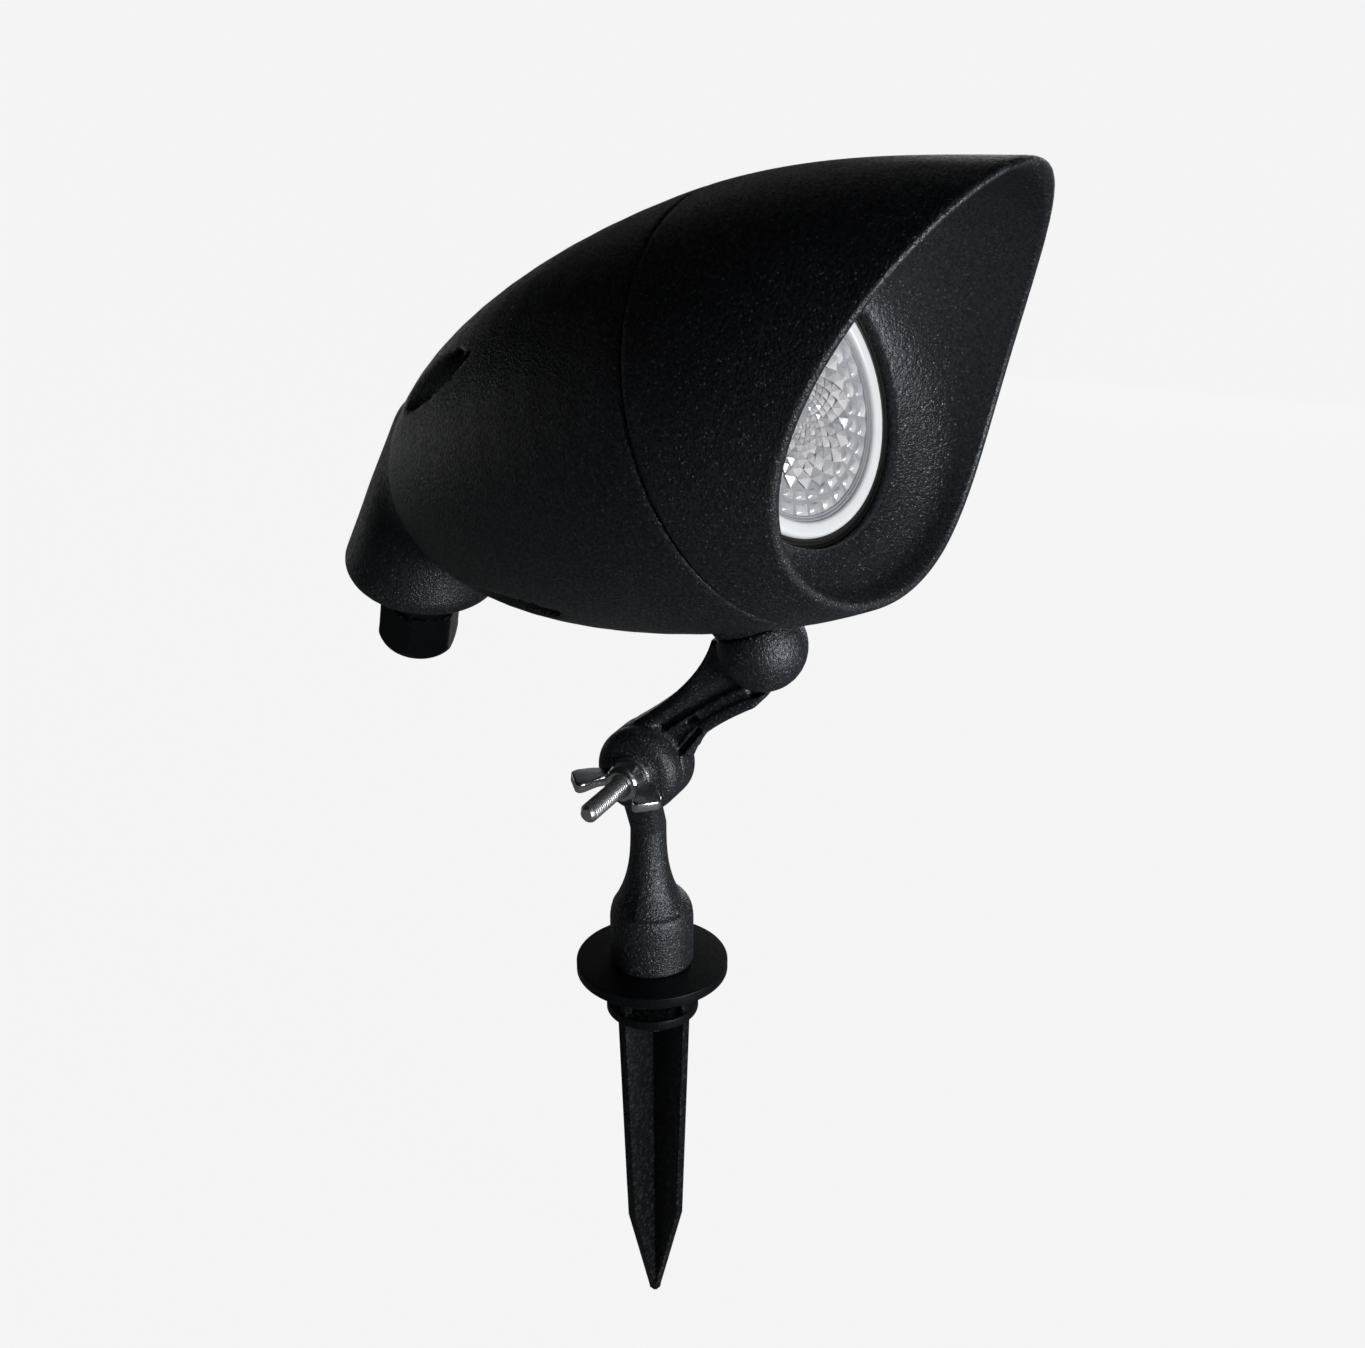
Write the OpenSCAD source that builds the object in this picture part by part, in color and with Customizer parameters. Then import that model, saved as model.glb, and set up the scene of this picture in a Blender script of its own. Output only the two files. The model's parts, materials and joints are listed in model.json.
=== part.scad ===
// Garden spotlight on a ground stake, with a folding bracket and a twist-in reflector lamp.
// Origin: stake axis at the underside of the round flange. +Z up, hinge bolt along X.

/* [Stake] */
// Radius of the round ground flange
flange_r = 16.8; // [15:0.1:20]
// Thickness of the ground flange
flange_t = 2.5; // [2:0.1:4]
// Depth of the point below the flange
stake_depth = 92; // [80:1:160]
// Half-width of the fins under the collar ring
fin_r = 10.2; // [8.5:0.1:10.3]
// Turn of the fins against the bracket
fin_turn = 30; // [-45:1:45]

/* [Bracket] */
// Height of the hinge bolt above the ground face
hinge_z = 51.2; // [50:0.1:60]
// Radius of the two hinge discs
disc_r = 9.3; // [9:0.1:9.6]
// Radius of the two cups
cup_r = 9.2; // [9:0.1:9.8]
// Distance from the hinge to the upper cup's centre
upper_len = 39.1; // [38:0.1:42]
// Forward lean of the upper arm
upper_lean = 40.7; // [39:0.1:43]
// Backward tilt of the upper cup's axis, which also lifts the beam
cup_tilt = 20.3; // [18:0.1:24]

/* [Head] */
// Largest radius of the head
head_r = 40.7; // [40:0.1:42]
// Length of the rear shell behind the seam
rear_len = 108; // [106:1:112]
// Wall thickness of both shells
wall = 2.6; // [2.2:0.1:2.8]
// Turn of the head on the upper cup
head_yaw = -14.5; // [-30:0.5:30]
// Backward lean of the cable boss
gland_lean = 36; // [33:1:38]

/* [Lamp] */
// Radius of the reflector lamp's rim
lamp_r = 25; // [24.5:0.1:25]
// Radius of the round opening in front of the lamp
opening_r = 27.1; // [27:0.1:27.6]
// Turn between locked and released in the holder
twist = 20; // [15:1:25]

/* [Hidden] */
$fn = 96;
eps = 0.05;         // overshoot of cuts
run = 0.05;         // radial running clearance

black = [0.09, 0.09, 0.1];
zinc = [0.78, 0.79, 0.8];
rubber = [0.16, 0.16, 0.17];

cup_floor = flange_t + 0.1;
neck_r = 3.9;
neck_z = 37;
neck_x = -1.2;      // the neck stands a little to the nut's side
hinge_x = -3.1;     // plane where the two discs meet
near_t = 5.3;       // disc of the lower arm
far_t = 7.9;        // disc of the upper arm
nut_face = hinge_x - near_t;
bolt_face = hinge_x + far_t;
bolt_r = 2;

upper_cup_y = -upper_len * sin(upper_lean);
upper_cup_z = hinge_z + upper_len * cos(upper_lean);
axis_lift = 46.4;   // beam axis above the upper cup's centre
pivot_s = -23.7;    // station of the swivel behind the seam
pad_v = -41.2;      // face of the swivel pad below the beam axis
pad_inside = 35.2;  // inner face of the pad below the beam axis
cup_mouth = axis_lift + pad_v - 0.1;
swivel_r = 5.5;     // spigot on the pad
swivel_len = 4.8;

belly_s = -6.8;     // station of the largest radius
front_bend = 106;   // length scales of the hood's profile
front_ease = 124.5;
seam_s = 0.2;       // half of the seam's width
hood_wall = 2.2;
lip_s = 13.5;       // station of the mouth's lower lip
lip_v = -40.3;      // height of the lower lip against the beam axis
mouth_bend = 0.0102;
lamp_s = 3.5;       // front face of the lamp's rim
opening_s = 4.7;    // front face of the lamp opening
scoop_s = 18.5;     // station where the scoop joins the hood wall
collar_s = lamp_s - 11;
lap_r = head_r - wall - 0.7;
lap_in = lap_r - 2.2;

well_r = 4.25;      // screw wells in the rear shell
screw_ring = 32.5;
screw_turns = [45, 135, 225, 315];
column_s = -10.3;   // where hood boss and rear column meet
column_floor = 3;
screw_r = 1.7;

boss_v = -16.1;     // widest circle of the cable boss, in the head's frame
boss_s = -118.9;
boss_r = 18.3;
boss_slope = 0.24;
boss_len = 35;
boss_face = 4.8;
boss_wall = 2.8;
boss_inside = boss_face - 1.1 * boss_wall;
gland_r = 7.9;
gland_hex = 17;
gland_turn = 29;
gland_end = 22.4;
nut_end = 23.9;     // outer face of the gland nut and of the seal's nose
nut_hole = 4.4;
seal_len = 7.15;
cable_r = 3.5;      // bore of the cable seal

base_s = lamp_s - 47.5; // rear face of the lamp's base
pin_pitch = 5;
holder_s = base_s - 0.6;
strap_s = holder_s - 13.4;
post_x = 27;
block_v = -15.5;
block_s = -78;

function shell_r(s, cut) = let (d = s - belly_s)
    d < 0 ? (head_r - cut) * sqrt(max(0, 1 - pow(d / (rear_len + belly_s - cut), 2)))
          : head_r * (1 - pow(d / front_bend, 2) + pow(d / front_ease, 4)) - cut;
function neck_at(z) = neck_r + 4.3 * pow(max(0, (neck_z - z) / 20), 3);
function mouth_s(v) = lip_s + mouth_bend * pow(v - lip_v, 2);
function bez(p, t) = pow(1 - t, 2) * p[0] + 2 * t * (1 - t) * p[1] + t * t * p[2];
function bez_dir(p, t) = let (d = (1 - t) * (p[1] - p[0]) + t * (p[2] - p[1])) d / norm(d);
function side_of(p, t, off) = bez(p, t) + off * [-bez_dir(p, t)[1], bez_dir(p, t)[0]];
function edge_of(p, off, t0 = 0, t1 = 1) = [for (i = [0 : 12]) side_of(p, t0 + (t1 - t0) * i / 12, off)];
function back_of(list) = [for (i = [len(list) - 1 : -1 : 0]) list[i]];

// Frames -----------------------------------------------------------------

module at_upper_cup() translate([0, upper_cup_y, upper_cup_z]) rotate([-cup_tilt, 0, 0]) children();

// Head frame: +X sideways, +Y up across the beam, +Z along the beam, origin in the seam plane
module at_head()
    translate([0, upper_cup_y, upper_cup_z]) rotate([90 - cup_tilt, 0, 0]) rotate([0, head_yaw, 0])
        translate([0, axis_lift, -pivot_s]) children();

// Swivel frame inside the head: +Z points up through the pad, origin on the beam axis
module at_swivel() translate([0, 0, pivot_s]) rotate([-90, 0, 0]) children();

// Gland frame: +Z points out of the cable boss, origin in its widest circle
module at_gland() at_head() gland_place() children();
module gland_place() translate([0, boss_v, boss_s]) rotate([90 + gland_lean, 0, 0]) children();

// Shared shapes ----------------------------------------------------------

module ring(r_in, r_out, z0, z1)
    translate([0, 0, z0]) difference() {
        cylinder(r = r_out, h = z1 - z0);
        translate([0, 0, -eps]) cylinder(r = r_in, h = z1 - z0 + 2 * eps);
    }

module disc(r, z0, z1) translate([0, 0, z0]) cylinder(r = r, h = z1 - z0);

module hexagon(flats, z0, z1) translate([0, 0, z0]) cylinder(r = flats / sqrt(3), h = z1 - z0, $fn = 6);

module at_screws() for (a = screw_turns) rotate(a + 90) translate([screw_ring, 0, 0]) children();

module rod(a, b, r) {
    d = b - a;
    translate(a) rotate([0, acos(d[2] / norm(d)), atan2(d[1], d[0])]) cylinder(r = r, h = norm(d), $fn = 24);
}

module lead(points, r) {
    for (i = [0 : len(points) - 2]) rod(points[i], points[i + 1], r);
    for (i = [1 : len(points) - 2]) translate(points[i]) sphere(r = r + 0.15, $fn = 24);
}

module along_x(x) translate([x, 0, hinge_z]) rotate([0, 90, 0]) children();

// Plate in the plane of the bracket, from x0 to x1
module plate(points, x0, x1)
    translate([x0, 0, 0]) rotate([90, 0, 90]) linear_extrude(x1 - x0) polygon(points);

// Stake ------------------------------------------------------------------

module ground_stake() {
    ring_z = -10.1;
    ring_t = 2.2;
    ring_r = 10.3;
    taper_z = -65;
    taper = 2.2;
    tip = 0.8;
    fin_t = 2.2;
    core_r = 5.6;
    spigot_r = 7;
    color(black) rotate(fin_turn) {
        disc(flange_r, 0, flange_t);
        disc(spigot_r - run, 0, 15);
        disc(3.6, -15, eps);
        ring(3.5, ring_r, ring_z, ring_z + ring_t);
        for (a = [45, 135]) rotate(a) rotate([90, 0, 0]) translate([0, 0, -fin_t / 2])
            linear_extrude(fin_t) polygon([
                [-core_r, eps], [-core_r, ring_z + 1], [-fin_r, ring_z + 1],
                [-fin_r + taper, taper_z], [-tip, -stake_depth], [tip, -stake_depth],
                [fin_r - taper, taper_z], [fin_r, ring_z + 1], [core_r, ring_z + 1], [core_r, eps]]);
        for (a = [45 : 90 : 315]) rotate(a) translate([7.6, -0.9, ring_z + 1]) cube([2.2, 1.8, -ring_z]);
    }
}

// Bracket ----------------------------------------------------------------

module hinge_disc(x0, dir, thick) {
    edge = 3;
    translate([x0, 0, hinge_z]) rotate([0, dir * 90, 0]) rotate_extrude()
        polygon(concat([[0, 0], [disc_r, 0]],
            [for (a = [0 : 15 : 90]) [disc_r - edge + edge * cos(a), thick - edge + edge * sin(a)]],
            [[0, thick]]));
}

module lower_arm() {
    dome_z = 13.6;
    dome_r = 7;
    ledge_z = 16.8;
    ledge_turn = 220;
    color(black) difference() {
        union() {
            rotate_extrude() polygon(concat(
                [[0, cup_floor], [cup_r, cup_floor], [cup_r, dome_z]],
                [for (a = [15 : 15 : 75]) [cup_r - dome_r + dome_r * cos(a), dome_z + dome_r * sin(a)]],
                [[0, dome_z + dome_r]]));
            translate([neck_x, 0, 0]) rotate_extrude() polygon(concat(
                [[0, 16]], [for (z = [17 : 2 : neck_z]) [neck_at(z), z]], [[0, neck_z]]));
            hull() {
                translate([neck_x, 0, 0]) disc(neck_r, neck_z - 1, neck_z);
                translate([hinge_x - 2.2, 0, 47]) rotate([90, 0, 90])
                    cylinder(r = 3.7, h = 3.6, center = true, $fn = 32);
            }
            translate([neck_x, 0, 0]) rotate(ledge_turn - 38) rotate_extrude(angle = 76) polygon(concat(
                [[5, ledge_z], [cup_r + 0.5, ledge_z]],
                [for (z = [ledge_z + 0.6 : 1.5 : 25]) [neck_at(z) + 0.09 * (26 - z), z]], [[3, 25]]));
            hinge_disc(hinge_x - eps, -1, near_t - eps);
        }
        disc(7, cup_floor - eps, 15.4);
        along_x(nut_face - 1) cylinder(r = bolt_r + 0.1, h = near_t + 2);
        along_x(hinge_x - eps) cylinder(r = disc_r + 0.4, h = far_t + 2);
    }
}

module upper_arm() {
    back = [[5.2, hinge_z + 7.4], [-12, hinge_z + 19.8], [-14.7, upper_cup_z + 0.8]];
    front = [[-9.6, hinge_z + 3.6], [-11.3, hinge_z + 9.6], [-24.6, upper_cup_z - 12]];
    inner = [[0.5, hinge_z + 6.5], [-8, hinge_z + 13], [-20, upper_cup_z - 6]];
    corner = [-26.9, upper_cup_z - 8.6];
    near = hinge_x + eps;
    floor_x = -0.9;
    color(black) difference() {
        union() {
            hinge_disc(near, 1, far_t - eps);
            plate(concat(edge_of(back, 0), back_of(edge_of(inner, 0))), near + 1.3, bolt_face);
            plate(concat(edge_of(back, 1.1), back_of(edge_of(inner, -1))), near, near + 1.4);
            plate(concat(edge_of(back, 1), [corner], back_of(edge_of(front, 0))), floor_x, bolt_face);
            plate(concat(edge_of(front, 0), [corner], back_of(edge_of(front, -2.4))), near + 0.5, bolt_face);
            plate(concat(edge_of(front, -1, 0.5, 1), back_of(edge_of(front, -5, 0.5, 1))),
                near + 1.2, bolt_face);
            plate(concat(edge_of(inner, 1.4, 0.1, 0.6), back_of(edge_of(inner, 2, 0.1, 0.6))),
                near + 0.8, floor_x + 1);
            plate([[-1, hinge_z + 5], [-5, hinge_z + 8.6], [-12.4, hinge_z + 12.6], [-13, hinge_z + 10],
                   [-10.4, hinge_z + 3.4]], near + 1.1, floor_x + 1);
            at_upper_cup() rotate_extrude() polygon(concat(
                [for (z = [cup_mouth, 4, 2.5, 1]) [cup_r - 0.07 * pow(z - 1, 2), z]],
                [for (a = [12 : 12 : 84]) [cup_r * cos(a), 1 - 9.4 * sin(a)]],
                [[0, -8.4], [0, cup_mouth]]));
        }
        at_upper_cup() {
            disc(swivel_r + run, cup_mouth - swivel_len - 0.3, cup_mouth + eps);
            disc(2, -7, cup_mouth);
            ring(6.15, 7.85, cup_mouth - 1.7, cup_mouth + eps);
        }
        plate([[-12.4, hinge_z + 11.2], [-7.2, hinge_z + 4.2],
            [-8.2, hinge_z + 3.6], [-13.2, hinge_z + 10.6]],
              near, floor_x);
        along_x(near - 1) cylinder(r = bolt_r + 0.1, h = far_t + 2);
        along_x(bolt_face - 3) rotate(30) cylinder(r = 7.1 / sqrt(3), h = 4, $fn = 6);
    }
}

module hinge_bolt() {
    tip_x = -27.8;
    head_x = bolt_face - 2.9;
    color(zinc) {
        along_x(tip_x) cylinder(r = bolt_r, h = head_x - tip_x + eps);
        along_x(head_x) rotate(30) cylinder(r = 7 / sqrt(3), h = 2.8, $fn = 6);
    }
}

module hinge_washer() color(zinc) along_x(nut_face - 0.8) ring(bolt_r + 0.15, 4.5, 0, 0.8);

module wing_nut() {
    hub_h = 4.6;
    tall = 10.5;
    span = 10.3;
    thick = 2;
    wing_turn = 6.5;
    color(zinc) along_x(nut_face - 0.85) rotate(wing_turn) mirror([0, 0, 1]) difference() {
        union() {
            cylinder(r1 = 4.3, r2 = 3.6, h = hub_h);
            for (a = [90, 270]) rotate(a) rotate([90, 0, 0])
                translate([0, 0, -thick / 2]) linear_extrude(thick) polygon([
                    [2.6, 0.6], [5, 0.9], [7.6, 2.4], [span - 0.5, 4.7], [span, 6], [span - 0.3, 7],
                    [7.4, tall - 0.4], [6.5, tall], [5.6, tall - 0.5], [4.7, 7.2], [3.9, hub_h],
                    [2.6, hub_h - 0.4]]);
        }
        translate([0, 0, -eps]) cylinder(r = bolt_r + run, h = tall + 1);
    }
}

// Head swivel ------------------------------------------------------------

module pivot_screw() color(zinc) at_upper_cup() {
    disc(bolt_r, -6.5, axis_lift - pad_inside + 0.9);
    disc(3.9, axis_lift - pad_inside + 0.8, axis_lift - pad_inside + 3.3);
}

module pivot_washer() color(zinc) at_upper_cup()
    ring(2.15, 5, axis_lift - pad_inside, axis_lift - pad_inside + 0.8);

module pivot_seal() color(rubber) at_upper_cup() translate([0, 0, cup_mouth - 0.8])
    rotate_extrude() translate([7, 0]) circle(r = 0.84, $fn = 24);

// Shells -----------------------------------------------------------------

module bullet(cut, front)
    rotate_extrude() polygon(concat([[0, front]],
        [for (i = [0 : 3]) let (s = front + (belly_s - front) * i / 4) [shell_r(s, cut), s]],
        [for (a = [0 : 5 : 85]) [(head_r - cut) * cos(a), belly_s - (rear_len + belly_s - cut) * sin(a)]],
        [[0, cut - rear_len]]));

module cable_boss(cut) {
    edge = boss_face - 0.4 * cut;
    r = boss_r - cut;
    face = boss_face - 1.1 * cut;
    cap = r - boss_slope * boss_len;
    rotate_extrude() polygon(concat([[0, face]],
        [for (a = [90 : -15 : 0]) [r - edge + edge * cos(a), face - edge + edge * sin(a)]],
        [for (a = [0 : 15 : 75]) [cap * cos(a), -boss_len - cap * sin(a)]],
        [[0, -boss_len - cap]]));
}

module rear_inside() {
    at_screws() disc(well_r + 1.35, -98, column_s);
    for (side = [-1, 1]) translate([side * post_x, 0, 0]) disc(3.5, -95, strap_s);
    at_swivel() disc(7, -39, -pad_inside);
    translate([-7, -30, block_s - 6]) cube([14, 30 + block_v - 4.5, 12]);
}

module rear_housing() color(black) at_head() difference() {
    union() {
        difference() {
            union() {
                bullet(0, -seam_s);
                gland_place() cable_boss(0);
                at_swivel() disc(8.6, pad_v, -37);
            }
            bullet(wall, 1);
            gland_place() cable_boss(boss_wall);
        }
        intersection() {
            bullet(0.6, -1);
            rear_inside();
        }
        at_swivel() disc(swivel_r, pad_v - swivel_len, -37);
    }
    at_screws() {
        disc(well_r, -140, column_s - column_floor);
        disc(2.2, -20, 1);
    }
    for (side = [-1, 1]) translate([side * post_x, 0, 0]) disc(1.25, strap_s - 8, strap_s + 1);
    at_swivel() disc(2.2, -50, -34);
    gland_place() disc(gland_r + 0.1, -8, boss_face + 1);
}

module front_hood() {
    tip_s = 74;
    scoop = [shell_r(scoop_s, hood_wall) - opening_r, scoop_s - opening_s];
    back_t = 2.3;
    outer = scoop + [back_t, back_t];
    back_s = scoop_s - outer[1] * sqrt(1 - pow((lap_in - opening_r) / outer[0], 2));
    color(black) at_head() difference() {
        union() {
            intersection() {
                rotate_extrude() polygon(concat(
                    [for (i = [0 : 20]) let (s = seam_s + (tip_s - seam_s) * i / 20) [shell_r(s, 0), s]],
                    [for (i = [20 : -1 : 0]) let (s = scoop_s + (tip_s - scoop_s) * i / 20)
                        [shell_r(s, hood_wall), s]],
                    [for (a = [84 : -6 : 6]) [opening_r + scoop[0] * sin(a), scoop_s - scoop[1] * cos(a)]],
                    [[opening_r, opening_s], [opening_r, collar_s], [opening_r + 1.5, collar_s],
                     [opening_r + 1.5, seam_s + 2]],
                    [for (a = [18 : 12 : 42]) [opening_r + outer[0] * sin(a), scoop_s - outer[1] * cos(a)]],
                    [[lap_in, back_s], [lap_in, -4], [lap_r, -4], [lap_r, seam_s]]));
                rotate([90, 0, 90]) linear_extrude(100, center = true) polygon(concat(
                    [[-60, -20], [-60, lip_s]],
                    [for (v = [lip_v : 4 : 40]) [v, mouth_s(v)]],
                    [[60, mouth_s(40)], [60, -20]]));
            }
            at_screws() disc(4.2, column_s + 0.1, opening_s);
            ring(opening_r - 1.2, opening_r + 1, collar_s, collar_s + 1.3);
        }
        at_screws() disc(screw_r, column_s, 3.3);
        ring(lap_r - 0.9, lap_r + 1, -2.9, -1.1);
    }
}

module hood_gasket() color(rubber) at_head() ring(lap_r - 0.9, head_r - wall - 0.35, -2.8, -1.2);

module housing_screws() color(zinc) at_head() at_screws() {
    disc(screw_r, column_s - column_floor - 0.1, 3);
    difference() {
        disc(3.6, column_s - column_floor - 2.6, column_s - column_floor);
        for (a = [0, 90]) rotate(a) translate([-2, -0.4, column_s - column_floor - 2.7]) cube([4, 0.8, 1.4]);
    }
}

// Lamp -------------------------------------------------------------------

// Lamp frame: the head's frame with its origin in the face of the lamp's rim
module at_lamp() at_head() translate([0, 0, lamp_s]) children();

module lamp_seal() color(rubber) at_lamp() difference() {
    ring(lamp_r + run, opening_r, -9.6, -0.9);
    translate([0, 0, -0.9]) rotate_extrude() translate([lamp_r + 1.1, 0]) circle(r = 0.45, $fn = 16);
}

module lamp_rim() color([0.93, 0.94, 0.96]) at_lamp() rotate_extrude() polygon([
    [22, -6.4], [lamp_r, -6.4], [lamp_r, -0.7], [lamp_r - 0.7, 0], [22.6, 0], [22, -0.5]]);

module lamp_lens() color([0.9, 0.93, 0.96, 0.5]) at_lamp() {
    lens_r = 21.95;
    rotate_extrude() polygon(concat([[0, -4.8], [lens_r, -4.8]],
        [for (i = [6 : -1 : 0]) [lens_r * i / 6, -1.2 + 0.7 * cos(15 * i)]]));
}

module lamp_body() color([0.9, 0.91, 0.92]) at_lamp() rotate_extrude() polygon([
    [24.2, -6.45], [24.2, -10.4], [20.5, -21.4], [16, -32.4], [13, -39.4], [11.6, -39.4],
    [14.6, -32], [19.1, -21], [22.8, -10.2], [22.8, -6.45]]);

module led_board() color([0.95, 0.95, 0.9]) at_lamp() difference() {
    disc(21.5, -11.6, -10.4);
    for (a = [0, 180]) rotate(a) translate([15, 0, 0]) disc(1.2, -12, -10);
}

module led_chips() color([0.98, 0.86, 0.4]) at_lamp() for (r = [0, 8], a = [0 : r == 0 ? 360 : 60 : 359])
    rotate(a) translate([r - 1.5, -1.5, -10.4]) cube([3, 3, 1]);

module lamp_driver() color([0.2, 0.45, 0.25]) at_lamp() {
    translate([-10, -0.8, -36.4]) cube([20, 1.6, 23]);
    translate([-4, 0.7, -27.4]) cube([8, 7, 9]);
    translate([-6, -4.6, 0]) disc(3.8, -33.4, -22.4);
}

module lamp_base() color([0.92, 0.92, 0.9]) at_head() difference() {
    union() {
        disc(11.4, lamp_s - 41.4, lamp_s - 37.8);
        disc(8.6, base_s, lamp_s - 41.3);
    }
    for (side = [-1, 1]) translate([0, side * pin_pitch, 0]) disc(1.6, base_s - 1, base_s + 2.05);
}

module lamp_pins() color(zinc) at_head() for (side = [-1, 1]) translate([0, side * pin_pitch, 0]) {
    disc(1.55, base_s - 5, base_s + 2);
    disc(2.4, base_s - 7, base_s - 4.5);
}

// Holder and wiring ------------------------------------------------------

module lamp_holder() color([0.93, 0.92, 0.88]) at_head() difference() {
    disc(14, strap_s + 1, holder_s);
    for (a = [90, 270]) rotate(a) {
        rotate_extrude(angle = twist) translate([pin_pitch - 1.8, holder_s - 3]) square([3.6, 4]);
        translate([pin_pitch, 0, 0]) disc(1.8, holder_s - 3, holder_s + 1);
        rotate(twist) translate([pin_pitch, 0, 0]) disc(2.8, holder_s - 3, holder_s + 1);
        rotate(-32) rotate_extrude(angle = twist + 66) translate([2, strap_s + 3]) square([6.4, 8.8]);
    }
    for (side = [-1, 1]) {
        translate([side * 10.8, 0, 0]) disc(1.25, strap_s, holder_s - 4);
        translate([0, side * pin_pitch, 0]) disc(1.15, strap_s, strap_s + 4);
    }
}

module holder_contacts() color([0.85, 0.68, 0.35]) at_head() for (side = [-1, 1])
    translate([-2, side * pin_pitch - 1.6, strap_s + 3.05]) difference() {
        cube([4, 3.2, 3]);
        translate([0.8, -1, 1]) cube([2.4, 6, 3]);
    }

module holder_bracket() color(zinc) at_head() difference() {
    translate([-30.5, -6.5, strap_s]) cube([61, 13, 1]);
    for (side = [-1, 1]) {
        translate([side * post_x, 0, 0]) disc(1.6, strap_s - 1, strap_s + 2);
        translate([side * 10.8, 0, 0]) disc(1.6, strap_s - 1, strap_s + 2);
        translate([0, side * pin_pitch, 0]) disc(1.15, strap_s - 1, strap_s + 2);
    }
}

module bracket_screws() color(zinc) at_head() for (side = [-1, 1]) {
    translate([side * post_x, 0, 0]) {
        disc(1.25, strap_s - 7, strap_s + 1.1);
        disc(2.6, strap_s + 1, strap_s + 3);
    }
    translate([side * 10.8, 0, 0]) {
        disc(1.25, strap_s - 0.1, strap_s + 8);
        disc(2.6, strap_s - 2, strap_s);
    }
}

module terminal_block() color([0.9, 0.9, 0.86]) at_head() difference() {
    translate([-8, block_v - 4.5, block_s - 7]) cube([16, 9, 14]);
    for (side = [-1, 1], s = [-4, 4]) translate([side * 3.7, block_v + 1, block_s + s])
        rotate([-90, 0, 0]) cylinder(r = 1.7, h = 5, $fn = 32);
    for (side = [-1, 1]) translate([side * 3.7, block_v - 1.5, 0]) disc(1.05, block_s - 8, block_s + 8);
}

module terminal_screws() color(zinc) at_head() for (side = [-1, 1], s = [-4, 4])
    translate([side * 3.7, block_v + 1, block_s + s]) rotate([-90, 0, 0]) difference() {
        cylinder(r = 1.6, h = 2.2, $fn = 32);
        translate([-2, -0.25, 1.6]) cube([4, 0.5, 1]);
    }

module lead_live() color([0.42, 0.25, 0.14]) at_head() lead([
    [0, pin_pitch, strap_s + 3], [0, pin_pitch, -62], [3.3, -6, -65.2], [3.7, block_v - 1.5, -68.8],
    [3.7, block_v - 1.5, -75]], 1);

module lead_neutral() color([0.2, 0.35, 0.75]) at_head() lead([
    [0, -pin_pitch, strap_s + 3], [0, -pin_pitch, -62], [-3.7, -12, -65.5], [-3.7, block_v - 1.5, -68.5],
    [-3.7, block_v - 1.5, -75]], 1);

// Gland ------------------------------------------------------------------

module gland_body() color(black) at_gland() difference() {
    union() {
        disc(gland_r, boss_inside - 7, gland_end);
        rotate(gland_turn) hexagon(gland_hex, boss_face + 1, boss_face + 5);
    }
    disc(4, boss_inside - 8, gland_end - 6);
    disc(6.5, gland_end - seal_len - eps, gland_end + 1);
}

module gland_oring() color(rubber) at_gland() ring(gland_r + 0.1, 8.45, boss_face, boss_face + 1);

module gland_seal() color(rubber) at_gland() difference() {
    union() {
        disc(6.5, gland_end - seal_len, gland_end + 0.2);
        disc(nut_hole - 0.1, gland_end, nut_end);
    }
    disc(cable_r, gland_end - seal_len - 1, nut_end + 1);
}

module gland_nut() color(black) at_gland() difference() {
    intersection() {
        rotate(gland_turn) hexagon(gland_hex, 11.4, 26);
        rotate_extrude() polygon(concat([[0, 11.4], [10.4, 11.4], [10.4, 18.5]],
            [for (a = [15 : 15 : 75]) [6 + 4.4 * cos(a), 18.5 + 5.4 * sin(a)]],
            [[6, nut_end], [0, nut_end]]));
    }
    disc(gland_r + run, 11, gland_end + 0.3);
    disc(nut_hole, gland_end, nut_end + 2);
}

module gland_locknut() color(zinc) at_gland() difference() {
    hexagon(19, boss_inside - 4, boss_inside - 0.05);
    disc(gland_r, boss_inside - 5, boss_inside + 1);
}

ground_stake();
lower_arm();
upper_arm();
hinge_bolt();
hinge_washer();
wing_nut();
pivot_screw();
pivot_washer();
pivot_seal();
rear_housing();
front_hood();
hood_gasket();
housing_screws();
lamp_seal();
lamp_rim();
lamp_lens();
lamp_body();
led_board();
led_chips();
lamp_driver();
lamp_base();
lamp_pins();
lamp_holder();
holder_contacts();
holder_bracket();
bracket_screws();
terminal_block();
terminal_screws();
lead_live();
lead_neutral();
gland_body();
gland_oring();
gland_seal();
gland_nut();
gland_locknut();
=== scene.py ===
import bpy
import bmesh
import json
import math
from mathutils import Matrix, Vector
from mathutils.kdtree import KDTree


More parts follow.
